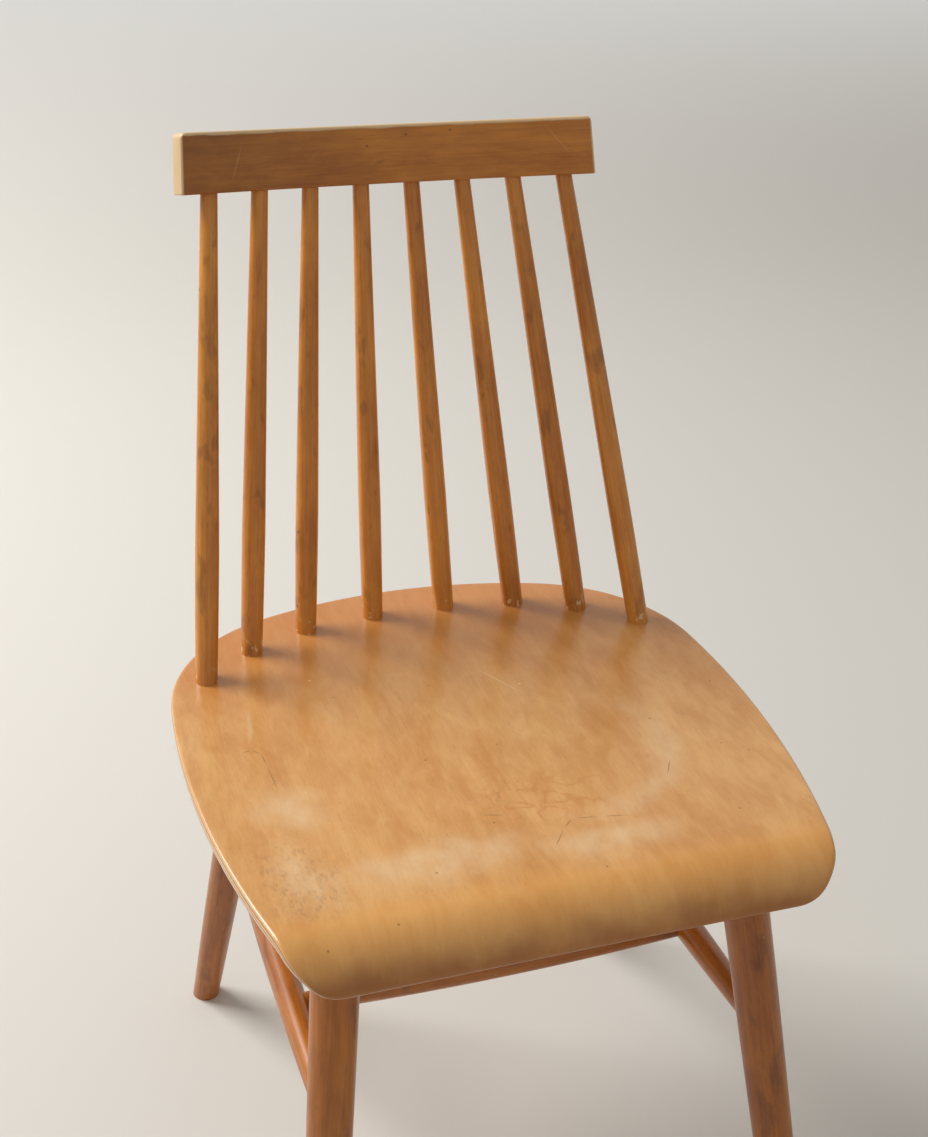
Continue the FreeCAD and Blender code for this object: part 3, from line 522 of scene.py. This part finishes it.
def sawn_birch(settings):
    """Plain sawn and sanded birch under the seat, dull, with hardly any lacquer."""
    material, tree = new_material("sawn_birch")
    place = add(tree, "ShaderNodeTexCoord").outputs["Object"]
    turned = add(tree, "ShaderNodeVectorRotate", {"Vector": place, "Angle": math.radians(90)},
                 rotation_type="Y_AXIS")
    wood = fibres(tree, turned, settings.colours.veneer_light, settings.colours.leg_dark)
    lacquer(tree, wood, 0.55, patches(tree, turned, (500, 500, 12)))
    return material


def zinc_plated_steel(settings):
    """Screws: steel with a thin zinc coat, grey and dull in patches of about 1 mm."""
    colours = settings.colours
    material, tree = new_material("zinc_plated_steel")
    cloud = patches(tree, add(tree, "ShaderNodeTexCoord").outputs["Object"], (900, 900, 900),
                    detail=2)
    coat = add(tree, "ShaderNodeMix",
               {0: cloud, 6: colours.zinc_bright, 7: colours.zinc_dull}, data_type="RGBA")
    rough = add(tree, "ShaderNodeMapRange", (cloud, 0.3, 0.7, 0.32, 0.5), **SMOOTH)
    surface = add(tree, "ShaderNodeBsdfPrincipled",
                  {"Base Color": coat, "Metallic": 1.0, "Roughness": rough})
    add(tree, "ShaderNodeOutputMaterial", (surface,))
    return material


def matt_wall_paint(settings):
    """Matt paint on the floor and wall; high up, what the camera and the lacquer see is even
    and pale."""
    material, tree = new_material("matt_wall_paint")
    paint = add(tree, "ShaderNodeBsdfPrincipled",
                {"Base Color": settings.colours.floor, "Roughness": 0.7})
    pale = add(tree, "ShaderNodeEmission", {"Color": settings.colours.wall, "Strength": 1.0})
    rays = add(tree, "ShaderNodeLightPath").outputs
    seen = either(tree, rays["Is Camera Ray"], rays["Is Glossy Ray"], rays["Is Transmission Ray"])
    place = add(tree, "ShaderNodeTexCoord").outputs["Object"]
    above = add(tree, "ShaderNodeMapRange",
                (add(tree, "ShaderNodeSeparateXYZ", (place,)).outputs["Z"], 0.0, 0.9), **SMOOTH)
    mixed = add(tree, "ShaderNodeMixShader", (overlap(tree, seen, above), paint, pale))
    add(tree, "ShaderNodeOutputMaterial", (mixed,))
    return material


# Meshes

def new_piece(name, mesh, material, slot, *nodes):
    """An object of the chair that stands for CAD nodes and rides on the chair's body."""
    piece = bpy.data.objects.new(name, mesh)
    bpy.context.scene.collection.objects.link(piece)
    piece.data.materials.clear()
    piece.data.materials.append(material)
    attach(piece, BODY)
    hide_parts(*nodes)


def finish_mesh(name, bm, grain=None):
    """A mesh with outward normals, smooth but for its sharp edges, and its grain attribute."""
    bmesh.ops.recalc_face_normals(bm, faces=bm.faces)
    mesh = bpy.data.meshes.new(name)
    bm.to_mesh(mesh)
    bm.free()
    mesh.shade_smooth()
    mesh.set_sharp_from_angle(angle=SHARP)
    if grain:
        layer = mesh.attributes.new("grain", "FLOAT_VECTOR", "POINT")
        layer.data.foreach_set("vector", [number for point in grain for number in point])
    return mesh


# The seat: a sheet of plywood with its own flat plan, bent over the roll at the front

def shares(count):
    """So many even steps from 0 to 1, without the 0."""
    return [index / count for index in range(1, count + 1)]


class SeatSheet:
    """The seat's sheet: plan points are across and along, as if the roll were laid flat."""

    def __init__(self, seat):
        self.seat = seat
        self.half_sheet = seat.half_width + seat.margin
        self.run = seat.rear + seat.margin - seat.roll_start
        self.lip = seat.roll_start - seat.roll_radius * seat.roll_angle
        # Centres of the arcs that make the rear edge and the right side
        self.rear = Vector((0, seat.rear - seat.rear_radius))
        self.side = Vector((seat.half_width - seat.side_radius, seat.widest_at))

    def lift(self, across, rise):
        """How far the sheet has risen sideways from its middle."""
        bend = (self.half_sheet ** 2 + rise ** 2) / (2 * rise)
        return bend - math.sqrt(bend ** 2 - across ** 2)

    def surface(self, across, along, depth):
        """The point at a depth under the top surface at a plan point."""
        seat = self.seat
        if along >= seat.roll_start:
            wave = math.sin(math.pi * (along - seat.roll_start) / self.run) ** 2
            middle = Vector((0, along, seat.height - seat.dish * wave))
            rise = seat.least_hollow + seat.hollow * wave
            up = Vector((0, 0, 1))
        else:
            roll = (seat.roll_start - along) / seat.roll_radius
            up = Vector((0, -math.sin(roll), math.cos(roll)))
            middle = Vector((0, seat.roll_start, seat.height - seat.roll_radius))
            middle += up * seat.roll_radius
            rise = seat.least_hollow
        return middle + up * (self.lift(across, rise) - depth) + Vector((across, 0, 0))

    def unrolled(self, point):
        """The plan point of a point of the outline as seen from above."""
        seat = self.seat
        if point.y >= seat.roll_start:
            return point
        reach = seat.roll_radius + self.lift(point.x, seat.least_hollow)
        sine = min((seat.roll_start - point.y) / reach, math.sin(seat.roll_angle))
        return Vector((point.x, seat.roll_start - seat.roll_radius * math.asin(sine)))

    def corner_centre(self):
        """Centre of the right rear corner's arc, tangent to the rear arc and the side arc."""
        seat = self.seat
        from_rear = seat.rear_radius - seat.corner_radius
        from_side = seat.side_radius - seat.corner_radius
        line = self.side - self.rear
        along = (from_rear ** 2 - from_side ** 2 + line.length_squared) / (2 * line.length)
        across = math.sqrt(from_rear ** 2 - along ** 2)
        line.normalize()
        return self.rear + line * along + Vector((line.y, -line.x)) * across

    def right_edge(self):
        """The outline's right half as plan points, from the rear's middle to the lip's."""
        seat = self.seat
        rear, side, corner = self.rear, self.side, self.corner_centre()
        front = seat.roll_start - seat.roll_radius - 0.001  # just past the rolled front
        nose = Vector((0, front + seat.front_corner))
        nose.x = side.x + math.sqrt((seat.side_radius - seat.front_corner) ** 2
                                    - (nose.y - side.y) ** 2)
        rear_turn = math.atan2(corner.y - rear.y, corner.x - rear.x)
        side_turn = math.atan2(corner.y - side.y, corner.x - side.x)
        nose_turn = math.atan2(nose.y - side.y, nose.x - side.x)
        plan = []
        for centre, radius, start, end, count in (
                (rear, seat.rear_radius, math.pi / 2, rear_turn, 60),
                (corner, seat.corner_radius, rear_turn, side_turn, 90),
                (side, seat.side_radius, side_turn, nose_turn, 160),
                (nose, seat.front_corner, nose_turn, -math.pi / 2, 160)):
            for index in range(count):
                angle = start + (end - start) * index / count
                out = Vector((math.cos(angle), math.sin(angle))) * radius
                plan.append(self.unrolled(centre + out))
        side_part = [point for point in plan if point.y > self.lip + TOUCHING]
        lip_end = Vector((plan[len(side_part)].x, self.lip))
        return self.round_lip_corner(side_part, lip_end)

    def round_lip_corner(self, side_part, lip_end):
        """The outline with its corner at the lip's end blended over a length on both sides."""
        reach = self.seat.lip_corner
        kept = [point for point in side_part if (point - lip_end).length > reach]
        start, end = kept[-1], lip_end - Vector((reach, 0))
        blend = [start.lerp(lip_end, t).lerp(lip_end.lerp(end, t), t) for t in shares(24)]
        return kept + blend + [Vector((end.x * (1 - t), end.y)) for t in shares(60)]


def walk(points, count):
    """Points spread evenly along a line of points."""
    lengths = [0.0]
    for before, after in zip(points, points[1:]):
        lengths.append(lengths[-1] + (after - before).length)
    result = []
    index = 0
    for step in range(count + 1):
        target = lengths[-1] * step / count
        while index < len(points) - 2 and lengths[index + 1] < target:
            index += 1
        span = lengths[index + 1] - lengths[index]
        share = (target - lengths[index]) / span if span else 0.0
        result.append(points[index].lerp(points[index + 1], min(max(share, 0.0), 1.0)))
    return result


def inset(loop, distance):
    """A closed loop moved inwards; also the outward direction at each point."""
    moved, outward = [], []
    for index, point in enumerate(loop):
        along = (loop[(index + 1) % len(loop)] - loop[index - 1]).normalized()
        out = Vector((along.y, -along.x))
        outward.append(out)
        moved.append(point - out * distance)
    return moved, outward


def seat_mesh(seat):
    """Two skins over an even grid, joined by a rounded rim."""
    sheet = SeatSheet(seat)
    edge = sheet.right_edge()
    count = seat.divisions
    # The grid's right corners: the rear one near the diagonal, the front one furthest forwards
    # and, at half weight, outwards
    diagonal, outwards = 0.01, 0.5
    rear_corner = min(range(len(edge)), key=lambda i: abs(edge[i].x - edge[i].y - diagonal))
    front_corner = max(range(len(edge)), key=lambda i: edge[i].x * outwards - edge[i].y)
    mirrored = [Vector((-point.x, point.y)) for point in edge]
    front = mirrored[front_corner:] + edge[::-1][1:len(edge) - front_corner]
    right = edge[front_corner:rear_corner - 1:-1]
    rear = edge[rear_corner::-1] + mirrored[1:rear_corner + 1]
    left = mirrored[rear_corner:front_corner + 1]
    sides = [walk(line, count) for line in (front, right, rear, left)]
    loop = [point for line in sides for point in line[:-1]]
    inner, outward = inset(loop, seat.edge_round)
    low = inner[:count + 1]
    east = inner[count:2 * count + 1]
    high = inner[2 * count:3 * count + 1][::-1]
    west = (inner[3 * count:] + inner[:1])[::-1]

    bm = bmesh.new()
    grain = []

    def vertex(point, plan, depth):
        grain.append((plan.x, depth, plan.y))
        return bm.verts.new(point)

    def plan_point(column, row):
        u, v = column / count, row / count
        ends = low[column].lerp(high[column], v) + west[row].lerp(east[row], u)
        return ends - low[0].lerp(low[count], u).lerp(high[0].lerp(high[count], u), v)

    skins = []
    for depth in (0.0, seat.thickness):
        skin = []
        for row in range(count + 1):
            line = []
            for column in range(count + 1):
                plan = plan_point(column, row)
                line.append(vertex(sheet.surface(plan.x, plan.y, depth), plan, depth))
            skin.append(line)
        skins.append(skin)
        for row in range(count):
            for column in range(count):
                bm.faces.new((skin[row][column], skin[row][column + 1],
                              skin[row + 1][column + 1], skin[row + 1][column]))

    def rim_of(skin):
        return ([skin[0][i] for i in range(count)] + [skin[i][count] for i in range(count)]
                + [skin[count][count - i] for i in range(count)]
                + [skin[count - i][0] for i in range(count)])

    # Rings of the rim from the top skin to the bottom one
    turns = [math.radians(angle) for angle in (22.5, 45, 67.5, 90)]
    profile = [(seat.edge_round * (1 - math.cos(a)), seat.edge_round * math.sin(a)) for a in turns]
    profile += [(seat.thickness - drop, out) for drop, out in reversed(profile)]
    rings = [rim_of(skins[0])]
    for drop, out in profile:
        ring = []
        for plan, direction in zip(inner, outward):
            over = plan + direction * PROBE
            base = sheet.surface(plan.x, plan.y, drop)
            away = (sheet.surface(over.x, over.y, drop) - base).normalized()
            ring.append(vertex(base + away * out, plan + direction * out, drop))
        rings.append(ring)
    rings.append(rim_of(skins[1]))
    for above, below in zip(rings, rings[1:]):
        for index in range(len(above)):
            after = (index + 1) % len(above)
            bm.faces.new((above[index], above[after], below[after], below[index]))
    return finish_mesh("seat", bm, grain)


# The crest rail

def crest_mesh(crest):
    """A straight bar with rounded corners and edges, bent round and leaned back."""
    bm = bmesh.new()
    half = crest.span / 2
    radius = crest.corner_round
    columns = 72  # faces along the bend
    crease = math.radians(60)  # edges that bend more than this are rounded

    def end_at(height):
        return half - crest.end_taper * height / crest.depth

    # The right end: the sharp lower corner, then round the upper one
    centre = (end_at(crest.depth - radius) - radius, crest.depth - radius)
    tip = [(end_at(0), 0.0)]
    tip += [(centre[0] + radius * math.cos(math.radians(angle)),
             centre[1] + radius * math.sin(math.radians(angle))) for angle in range(0, 91, 10)]
    reach, top_reach = tip[0][0], tip[-1][0]
    loops = []
    for depth in (-crest.thickness / 2, crest.thickness / 2):
        lower = [bm.verts.new(((2 * i / columns - 1) * reach, 0, depth))
                 for i in range(columns + 1)]
        upper = [bm.verts.new(((2 * i / columns - 1) * top_reach, crest.depth, depth))
                 for i in range(columns + 1)]
        right = [bm.verts.new((a, h, depth)) for a, h in tip[1:-1]]
        left = [bm.verts.new((-a, h, depth)) for a, h in tip[1:-1]]
        for i in range(columns):
            bm.faces.new((lower[i], lower[i + 1], upper[i + 1], upper[i]))
        bm.faces.new([lower[-1], *right, upper[-1]])
        bm.faces.new([upper[0], *reversed(left), lower[0]])
        loops.append(lower + right + upper[::-1] + left[::-1])
    front, back = loops
    for index in range(len(front)):
        after = (index + 1) % len(front)
        bm.faces.new((front[index], front[after], back[after], back[index]))
    bmesh.ops.recalc_face_normals(bm, faces=bm.faces)

    def is_low(edge):
        return all(vertex.co.y < TOUCHING for vertex in edge.verts)

    for size, wanted in ((crest.edge_round, lambda edge: not is_low(edge)),
                         (crest.lower_round, is_low)):
        rim = [edge for edge in bm.edges
               if edge.calc_face_angle(0) > crease and wanted(edge)]
        bmesh.ops.bevel(bm, geom=rim, offset=size, segments=4, profile=0.5, affect="EDGES",
                        clamp_overlap=True)
    lean = Matrix.Rotation(-crest.lean, 3, "X")
    grain = []
    for vertex in bm.verts:
        around, height, depth = vertex.co
        grain.append((height, depth, around))
        angle = around / crest.radius
        bent = Vector(((crest.radius + depth) * math.sin(angle),
                       (crest.radius + depth) * math.cos(angle) - crest.radius, height))
        vertex.co = Vector(crest.middle) + lean @ bent
    return finish_mesh("crest_rail", bm, grain)


# Turned rods, as Geometry Nodes

ROD_INPUTS = {
    "Vector": ("Start", "Direction"),
    "Float": ("Length", "Start Radius", "Peak Radius", "End Radius", "Peak At", "Rise Power",
              "Fall Power", "Below Start", "Grain Seed"),
    "Bool": ("Level Foot",),
    "Int": ("Rings", "Sides"),
    "Material": ("Finish",),
}

# The rod's radius rises to its peak and falls to the far end; a name stands for an input
# of the tree or for an earlier line
ROD_SUMS = (
    ("Sunk Start", "MULTIPLY", "Below Start", -1.0),
    ("Share", "DIVIDE", "Height", "Length"),
    ("To Peak", "SUBTRACT", "Peak At", "Share"),
    ("Share To Peak", "DIVIDE", "To Peak", "Peak At"),
    ("Left To Peak", "MAXIMUM", "Share To Peak", 0.0),
    ("Missing", "POWER", "Left To Peak", "Rise Power"),
    ("Rise", "SUBTRACT", 1.0, "Missing"),
    ("Past Peak", "SUBTRACT", "Share", "Peak At"),
    ("Behind Peak", "SUBTRACT", 1.0001, "Peak At"),
    ("Share Past Peak", "DIVIDE", "Past Peak", "Behind Peak"),
    ("Gone Past Peak", "MAXIMUM", "Share Past Peak", 0.0),
    ("Fall", "POWER", "Gone Past Peak", "Fall Power"),
    ("Growth", "SUBTRACT", "Peak Radius", "Start Radius"),
    ("Swell", "MULTIPLY_ADD", "Growth", "Rise", "Start Radius"),
    ("Loss", "SUBTRACT", "End Radius", "Peak Radius"),
    ("Radius", "MULTIPLY_ADD", "Loss", "Fall", "Swell"),
    ("Second Seed", "MULTIPLY", "Grain Seed", 1.7),
)


def turned_rod_tree():
    """A rod between two points whose radius rises to a peak and falls to its far end."""
    tree = bpy.data.node_groups.new("turned_rod", "GeometryNodeTree")
    for kind, names in ROD_INPUTS.items():
        for name in names:
            tree.interface.new_socket(name, in_out="INPUT", socket_type=f"NodeSocket{kind}")
    tree.interface.new_socket("Rod", in_out="OUTPUT", socket_type="NodeSocketGeometry")
    known = dict(tree.nodes.new("NodeGroupInput").outputs.items())
    here = add(tree, "GeometryNodeInputPosition")
    known["Height"] = add(tree, "ShaderNodeSeparateXYZ", (here,)).outputs["Z"]
    for name, operation, *terms in ROD_SUMS:
        known[name] = add(tree, "ShaderNodeMath", [known.get(term, term) for term in terms],
                          operation=operation)

    line = add(tree, "GeometryNodeCurvePrimitiveLine",
               {"Start": add(tree, "ShaderNodeCombineXYZ", {"Z": known["Sunk Start"]}),
                "End": add(tree, "ShaderNodeCombineXYZ", {"Z": known["Length"]})})
    spine = add(tree, "GeometryNodeResampleCurve", {"Curve": line, "Count": known["Rings"]})
    circle = add(tree, "GeometryNodeCurvePrimitiveCircle",
                 {"Resolution": known["Sides"], "Radius": 1.0})
    tube = add(tree, "GeometryNodeCurveToMesh",
               {"Curve": spine, "Profile Curve": circle, "Scale": known["Radius"],
                "Fill Caps": True})
    seed = add(tree, "ShaderNodeCombineXYZ",
               {"X": known["Grain Seed"], "Y": known["Second Seed"]})
    own_place = add(tree, "ShaderNodeVectorMath", (here, seed), operation="ADD")
    marked = add(tree, "GeometryNodeStoreNamedAttribute",
                 {"Geometry": tube, "Name": "grain", "Value": own_place},
                 data_type="FLOAT_VECTOR", domain="POINT")
    swing = add(tree, "FunctionNodeAlignRotationToVector", {"Vector": known["Direction"]},
                axis="Z")
    placed = add(tree, "GeometryNodeTransform",
                 {"Geometry": marked, "Translation": known["Start"], "Rotation": swing})

    # A level foot: what lies under the floor slides along the rod up to it
    drop = known["Height"]
    fall = add(tree, "ShaderNodeSeparateXYZ", (known["Direction"],)).outputs["Z"]
    rise = add(tree, "ShaderNodeMath", (drop, -1.0), operation="MULTIPLY")
    way = add(tree, "ShaderNodeMath", (rise, fall), operation="DIVIDE")
    slide = add(tree, "ShaderNodeVectorMath", {0: known["Direction"], "Scale": way},
                operation="SCALE")
    under = add(tree, "FunctionNodeCompare", (drop, 0.0), data_type="FLOAT",
                operation="LESS_THAN")
    sunk = add(tree, "FunctionNodeBooleanMath", (under, known["Level Foot"]), operation="AND")
    level = add(tree, "GeometryNodeSetPosition",
                {"Geometry": placed, "Selection": sunk, "Offset": slide})
    real = add(tree, "GeometryNodeRealizeInstances", {"Geometry": level})
    finished = add(tree, "GeometryNodeSetMaterial",
                   {"Geometry": real, "Material": known["Finish"]})
    add(tree, "NodeGroupOutput", (finished,))
    return tree


def turn_rod(name, slot, start, end, material, sizes):
    """A turned rod between two points, as a piece that stands for its CAD node. Its grain
    seed moves it to a place of its own in the wood."""
    tree = bpy.data.node_groups.get("turned_rod") or turned_rod_tree()
    carrier = bpy.data.objects.new(f"{name}_carrier", bpy.data.meshes.new(name))
    bpy.context.scene.collection.objects.link(carrier)
    modifier = carrier.modifiers.new("turned rod", "NODES")
    modifier.node_group = tree
    values = {"Start": start, "Direction": (end - start).normalized(),
              "Length": (end - start).length, "Finish": material, "Rings": 48, "Sides": 40,
              "Rise Power": 2.0, "Fall Power": 2.0, "Peak At": 0.5, "Below Start": 0.0,
              "Level Foot": False, **sizes}
    for item in tree.interface.items_tree:
        if item.in_out == "INPUT":
            modifier[item.identifier] = values[item.name]
    shown = carrier.evaluated_get(bpy.context.evaluated_depsgraph_get())
    mesh = bpy.data.meshes.new_from_object(shown)
    mesh.name = f"turned_{name}"
    bpy.data.objects.remove(carrier)
    mesh.shade_smooth()
    mesh.set_sharp_from_angle(angle=SHARP)
    new_piece(f"turned_{name}", mesh, material, slot, name)


def mirror_side(point, side):
    """A point given for the right side, or its mirror image where the side is -1."""
    return Vector((side * point[0], point[1], point[2]))


def on_leg(legs, row, side, height):
    """The point of a leg's axis at a height."""
    foot = mirror_side(getattr(legs, f"{row}_foot"), side)
    top = mirror_side(getattr(legs, f"{row}_top"), side)
    return foot.lerp(top, height / top.z)


# Operators

class CHAIR_OT_seat(bpy.types.Operator):
    """Mould the plywood seat"""
    bl_idname = "chair.seat"
    bl_label = "Mould Seat"

    def execute(self, context):
        settings = context.scene.chair
        new_piece("seat_moulding", seat_mesh(settings.seat), lacquered_plywood(settings),
                  "seat_wood", "seat_shell")
        return {"FINISHED"}


class CHAIR_OT_crest(bpy.types.Operator):
    """Bend the crest rail"""
    bl_idname = "chair.crest"
    bl_label = "Bend Crest Rail"

    def execute(self, context):
        settings = context.scene.chair
        new_piece("crest_bar", crest_mesh(settings.crest), lacquered_bent_birch(settings),
                  "crest_wood", "crest_rail")
        return {"FINISHED"}


class CHAIR_OT_spindles(bpy.types.Operator):
    """Turn the spindles of the back"""
    bl_idname = "chair.spindles"
    bl_label = "Turn Spindles"

    def execute(self, context):
        settings = context.scene.chair
        sizes = settings.spindles
        crest = settings.crest
        material = lacquered_turned_birch(settings, "lacquered_spindle_birch",
                                          settings.colours.spindle_light,
                                          settings.colours.spindle_dark,
                                          sizes.seat_depth + sizes.chip_height)
        pairs = ("inner", "second", "third", "outer")
        lean = Matrix.Rotation(-crest.lean, 3, "X")
        for number in range(8):
            side = -1 if number < 4 else 1
            pair = pairs[3 - number if number < 4 else number - 4]
            foot = mirror_side(getattr(sizes, f"foot_{pair}"), side)
            angle = (number - 3.5) * sizes.pitch / crest.radius
            head = Vector(crest.middle) + lean @ Vector(
                (crest.radius * math.sin(angle), crest.radius * (math.cos(angle) - 1), 0))
            way = (head - foot).normalized()
            start = foot - way * sizes.seat_depth
            end = head + way * sizes.crest_depth
            turn_rod(f"spindle_{number + 1}", "spindle_wood", start, end, material, {
                "Start Radius": sizes.foot_diameter / 2,
                "Peak Radius": sizes.belly_diameter / 2,
                "End Radius": sizes.top_diameter / 2,
                "Peak At": (sizes.seat_depth + sizes.belly_height) / (end - start).length,
                "Fall Power": 1.12, "Rings": 72, "Grain Seed": 3.1 * (number + 1)})
        return {"FINISHED"}


class CHAIR_OT_legs(bpy.types.Operator):
    """Turn the four legs"""
    bl_idname = "chair.legs"
    bl_label = "Turn Legs"

    def execute(self, context):
        settings = context.scene.chair
        sizes = settings.legs
        material = lacquered_turned_birch(settings, "lacquered_leg_birch",
                                          settings.colours.leg_light,
                                          settings.colours.leg_dark)
        seed = 40.0
        for row in ("front", "rear"):
            for side, hand in ((-1, "left"), (1, "right")):
                foot = on_leg(sizes, row, side, 0.0)
                top = mirror_side(getattr(sizes, f"{row}_top"), side)
                end = top + (top - foot).normalized() * sizes.bearer_depth
                seed += 2.3
                turn_rod(f"{row}_{hand}_leg", "leg_wood", foot, end, material, {
                    "Start Radius": sizes.foot_diameter / 2,
                    "Peak Radius": sizes.top_diameter / 2,
                    "End Radius": sizes.top_diameter / 2,
                    "Peak At": 0.985, "Rise Power": 1.6, "Sides": 56,
                    "Below Start": 0.0036, "Level Foot": True, "Grain Seed": seed})
        return {"FINISHED"}


class CHAIR_OT_stretchers(bpy.types.Operator):
    """Turn the side stretchers and the cross stretcher"""
    bl_idname = "chair.stretchers"
    bl_label = "Turn Stretchers"

    def execute(self, context):
        settings = context.scene.chair
        sizes = settings.stretchers
        material = lacquered_turned_birch(settings, "lacquered_stretcher_birch",
                                          settings.colours.leg_light,
                                          settings.colours.leg_dark)
        side_radii = {"Start Radius": sizes.end_diameter / 2, "Peak Radius": sizes.diameter / 2,
                      "End Radius": sizes.end_diameter / 2}
        joints = []
        for side, hand in ((-1, "left"), (1, "right")):
            rear = on_leg(settings.legs, "rear", side, sizes.rear_height)
            front = on_leg(settings.legs, "front", side, sizes.front_height)
            joints.append(rear.lerp(front, sizes.cross_share))
            turn_rod(f"{hand}_side_stretcher", "stretcher_wood", rear, front, material,
                     {**side_radii, "Grain Seed": 60 + side})
        turn_rod("cross_stretcher", "stretcher_wood", *joints, material, {
            "Start Radius": sizes.cross_end_diameter / 2,
            "Peak Radius": sizes.cross_diameter / 2,
            "End Radius": sizes.cross_end_diameter / 2, "Grain Seed": 66})
        return {"FINISHED"}


class CHAIR_OT_bearers(bpy.types.Operator):
    """Finish the bearers under the seat"""
    bl_idname = "chair.bearers"
    bl_label = "Finish Bearers"

    def execute(self, context):
        material = sawn_birch(context.scene.chair)
        for name in ("front_bearer", "rear_bearer"):
            bm = bmesh.new()
            bm.from_mesh(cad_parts[name].data)
            bmesh.ops.remove_doubles(bm, verts=bm.verts, dist=TOUCHING)
            new_piece(f"sawn_{name}", finish_mesh(f"sawn_{name}", bm), material, "bearer_wood",
                      name)
        return {"FINISHED"}


class CHAIR_OT_screws(bpy.types.Operator):
    """Finish the screws under the seat"""
    bl_idname = "chair.screws"
    bl_label = "Finish Screws"

    def execute(self, context):
        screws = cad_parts["bearer_screws"]
        material = zinc_plated_steel(context.scene.chair)
        for slot in screws.material_slots:
            slot.material = material
        return {"FINISHED"}


class CHAIR_OT_stage(bpy.types.Operator):
    """Set the floor, the lights and the camera"""
    bl_idname = "chair.stage"
    bl_label = "Set Stage"

    def execute(self, context):
        settings = context.scene.chair
        scene = context.scene
        self.lay_floor(scene, settings)
        self.light(scene, settings.stage)
        self.aim_camera(scene, settings.stage)
        scene.view_settings.view_transform = "Standard"
        return {"FINISHED"}

    def lay_floor(self, scene, settings):
        """A pale floor that sweeps up into a wall behind the chair."""
        bm = bmesh.new()
        wall_at, bend, high, wide, near = 3.4, 1.2, 4.0, 9.0, -9.0  # in metres
        line = [(near, 0.0), (wall_at - bend, 0.0)]
        line += [(wall_at - bend + bend * math.sin(math.radians(angle)),
                  bend - bend * math.cos(math.radians(angle))) for angle in range(6, 91, 6)]
        line += [(wall_at, high)]
        rows = [[bm.verts.new((x, y, z)) for x in (-wide, wide)] for y, z in line]
        for low, up in zip(rows, rows[1:]):
            bm.faces.new((low[0], low[1], up[1], up[0]))
        mesh = bpy.data.meshes.new("floor")
        bm.to_mesh(mesh)
        bm.free()
        mesh.shade_smooth()
        floor = bpy.data.objects.new("floor", mesh)
        scene.collection.objects.link(floor)
        mesh.materials.append(matt_wall_paint(settings))

    def light(self, scene, stage):
        """A large window on the left, a little behind the chair, and even light all round."""
        world = bpy.data.worlds.new("even_light")
        world.use_nodes = True
        sky = world.node_tree.nodes["Background"].inputs
        sky["Color"].default_value = (1.0, 0.99, 0.97, 1.0)
        sky["Strength"].default_value = stage.sky_strength
        scene.world = world
        lamp = bpy.data.lights.new("window", "AREA")
        lamp.shape = "RECTANGLE"
        lamp.size, lamp.size_y = stage.window_width, stage.window_height
        lamp.energy = stage.key_power
        lamp.color = (1.0, 0.98, 0.95)
        window = bpy.data.objects.new("window", lamp)
        window.location = stage.window_place
        aim = Vector(stage.window_aim) - window.location
        window.rotation_euler = aim.to_track_quat("-Z", "Y").to_euler()
        scene.collection.objects.link(window)

    def aim_camera(self, scene, stage):
        """The camera, turned from straight ahead by its yaw, pitch and roll."""
        data = bpy.data.cameras.new("camera")
        data.sensor_width = 36.0
        data.lens = stage.camera_lens
        camera = bpy.data.objects.new("camera", data)
        turned = (Matrix.Rotation(-stage.camera_yaw, 4, "Z")
                  @ Matrix.Rotation(math.pi / 2 - stage.camera_pitch, 4, "X")
                  @ Matrix.Rotation(stage.camera_roll, 4, "Z"))
        camera.matrix_world = Matrix.Translation(Vector(stage.camera_place)) @ turned
        scene.collection.objects.link(camera)
        scene.camera = camera


OPERATORS = (CHAIR_OT_seat, CHAIR_OT_crest, CHAIR_OT_spindles, CHAIR_OT_legs,
             CHAIR_OT_stretchers, CHAIR_OT_bearers, CHAIR_OT_screws, CHAIR_OT_stage)


class CHAIR_PT_panel(bpy.types.Panel):
    """The chair's steps in the sidebar."""
    bl_label = "Spindle-Back Chair"
    bl_space_type = "VIEW_3D"
    bl_region_type = "UI"
    bl_category = "Chair"

    def draw(self, context):
        column = self.layout.column(align=True)
        for operator in OPERATORS:
            column.operator(operator.bl_idname)


CLASSES = (SeatSizes, SpindleSizes, LegSizes, StretcherSizes, CrestSizes, ChairColours,
           StageSizes, ChairSettings, *OPERATORS, CHAIR_PT_panel)


def register():
    for cls in CLASSES:
        bpy.utils.register_class(cls)
    bpy.types.Scene.chair = PointerProperty(type=ChairSettings)


def unregister():
    del bpy.types.Scene.chair
    for cls in reversed(CLASSES):
        bpy.utils.unregister_class(cls)


def main():
    register()
    bpy.ops.chair.seat()
    bpy.ops.chair.crest()
    bpy.ops.chair.spindles()
    bpy.ops.chair.legs()
    bpy.ops.chair.stretchers()
    bpy.ops.chair.bearers()
    bpy.ops.chair.screws()
    bpy.ops.chair.stage()


if __name__ == "__main__":
    main()
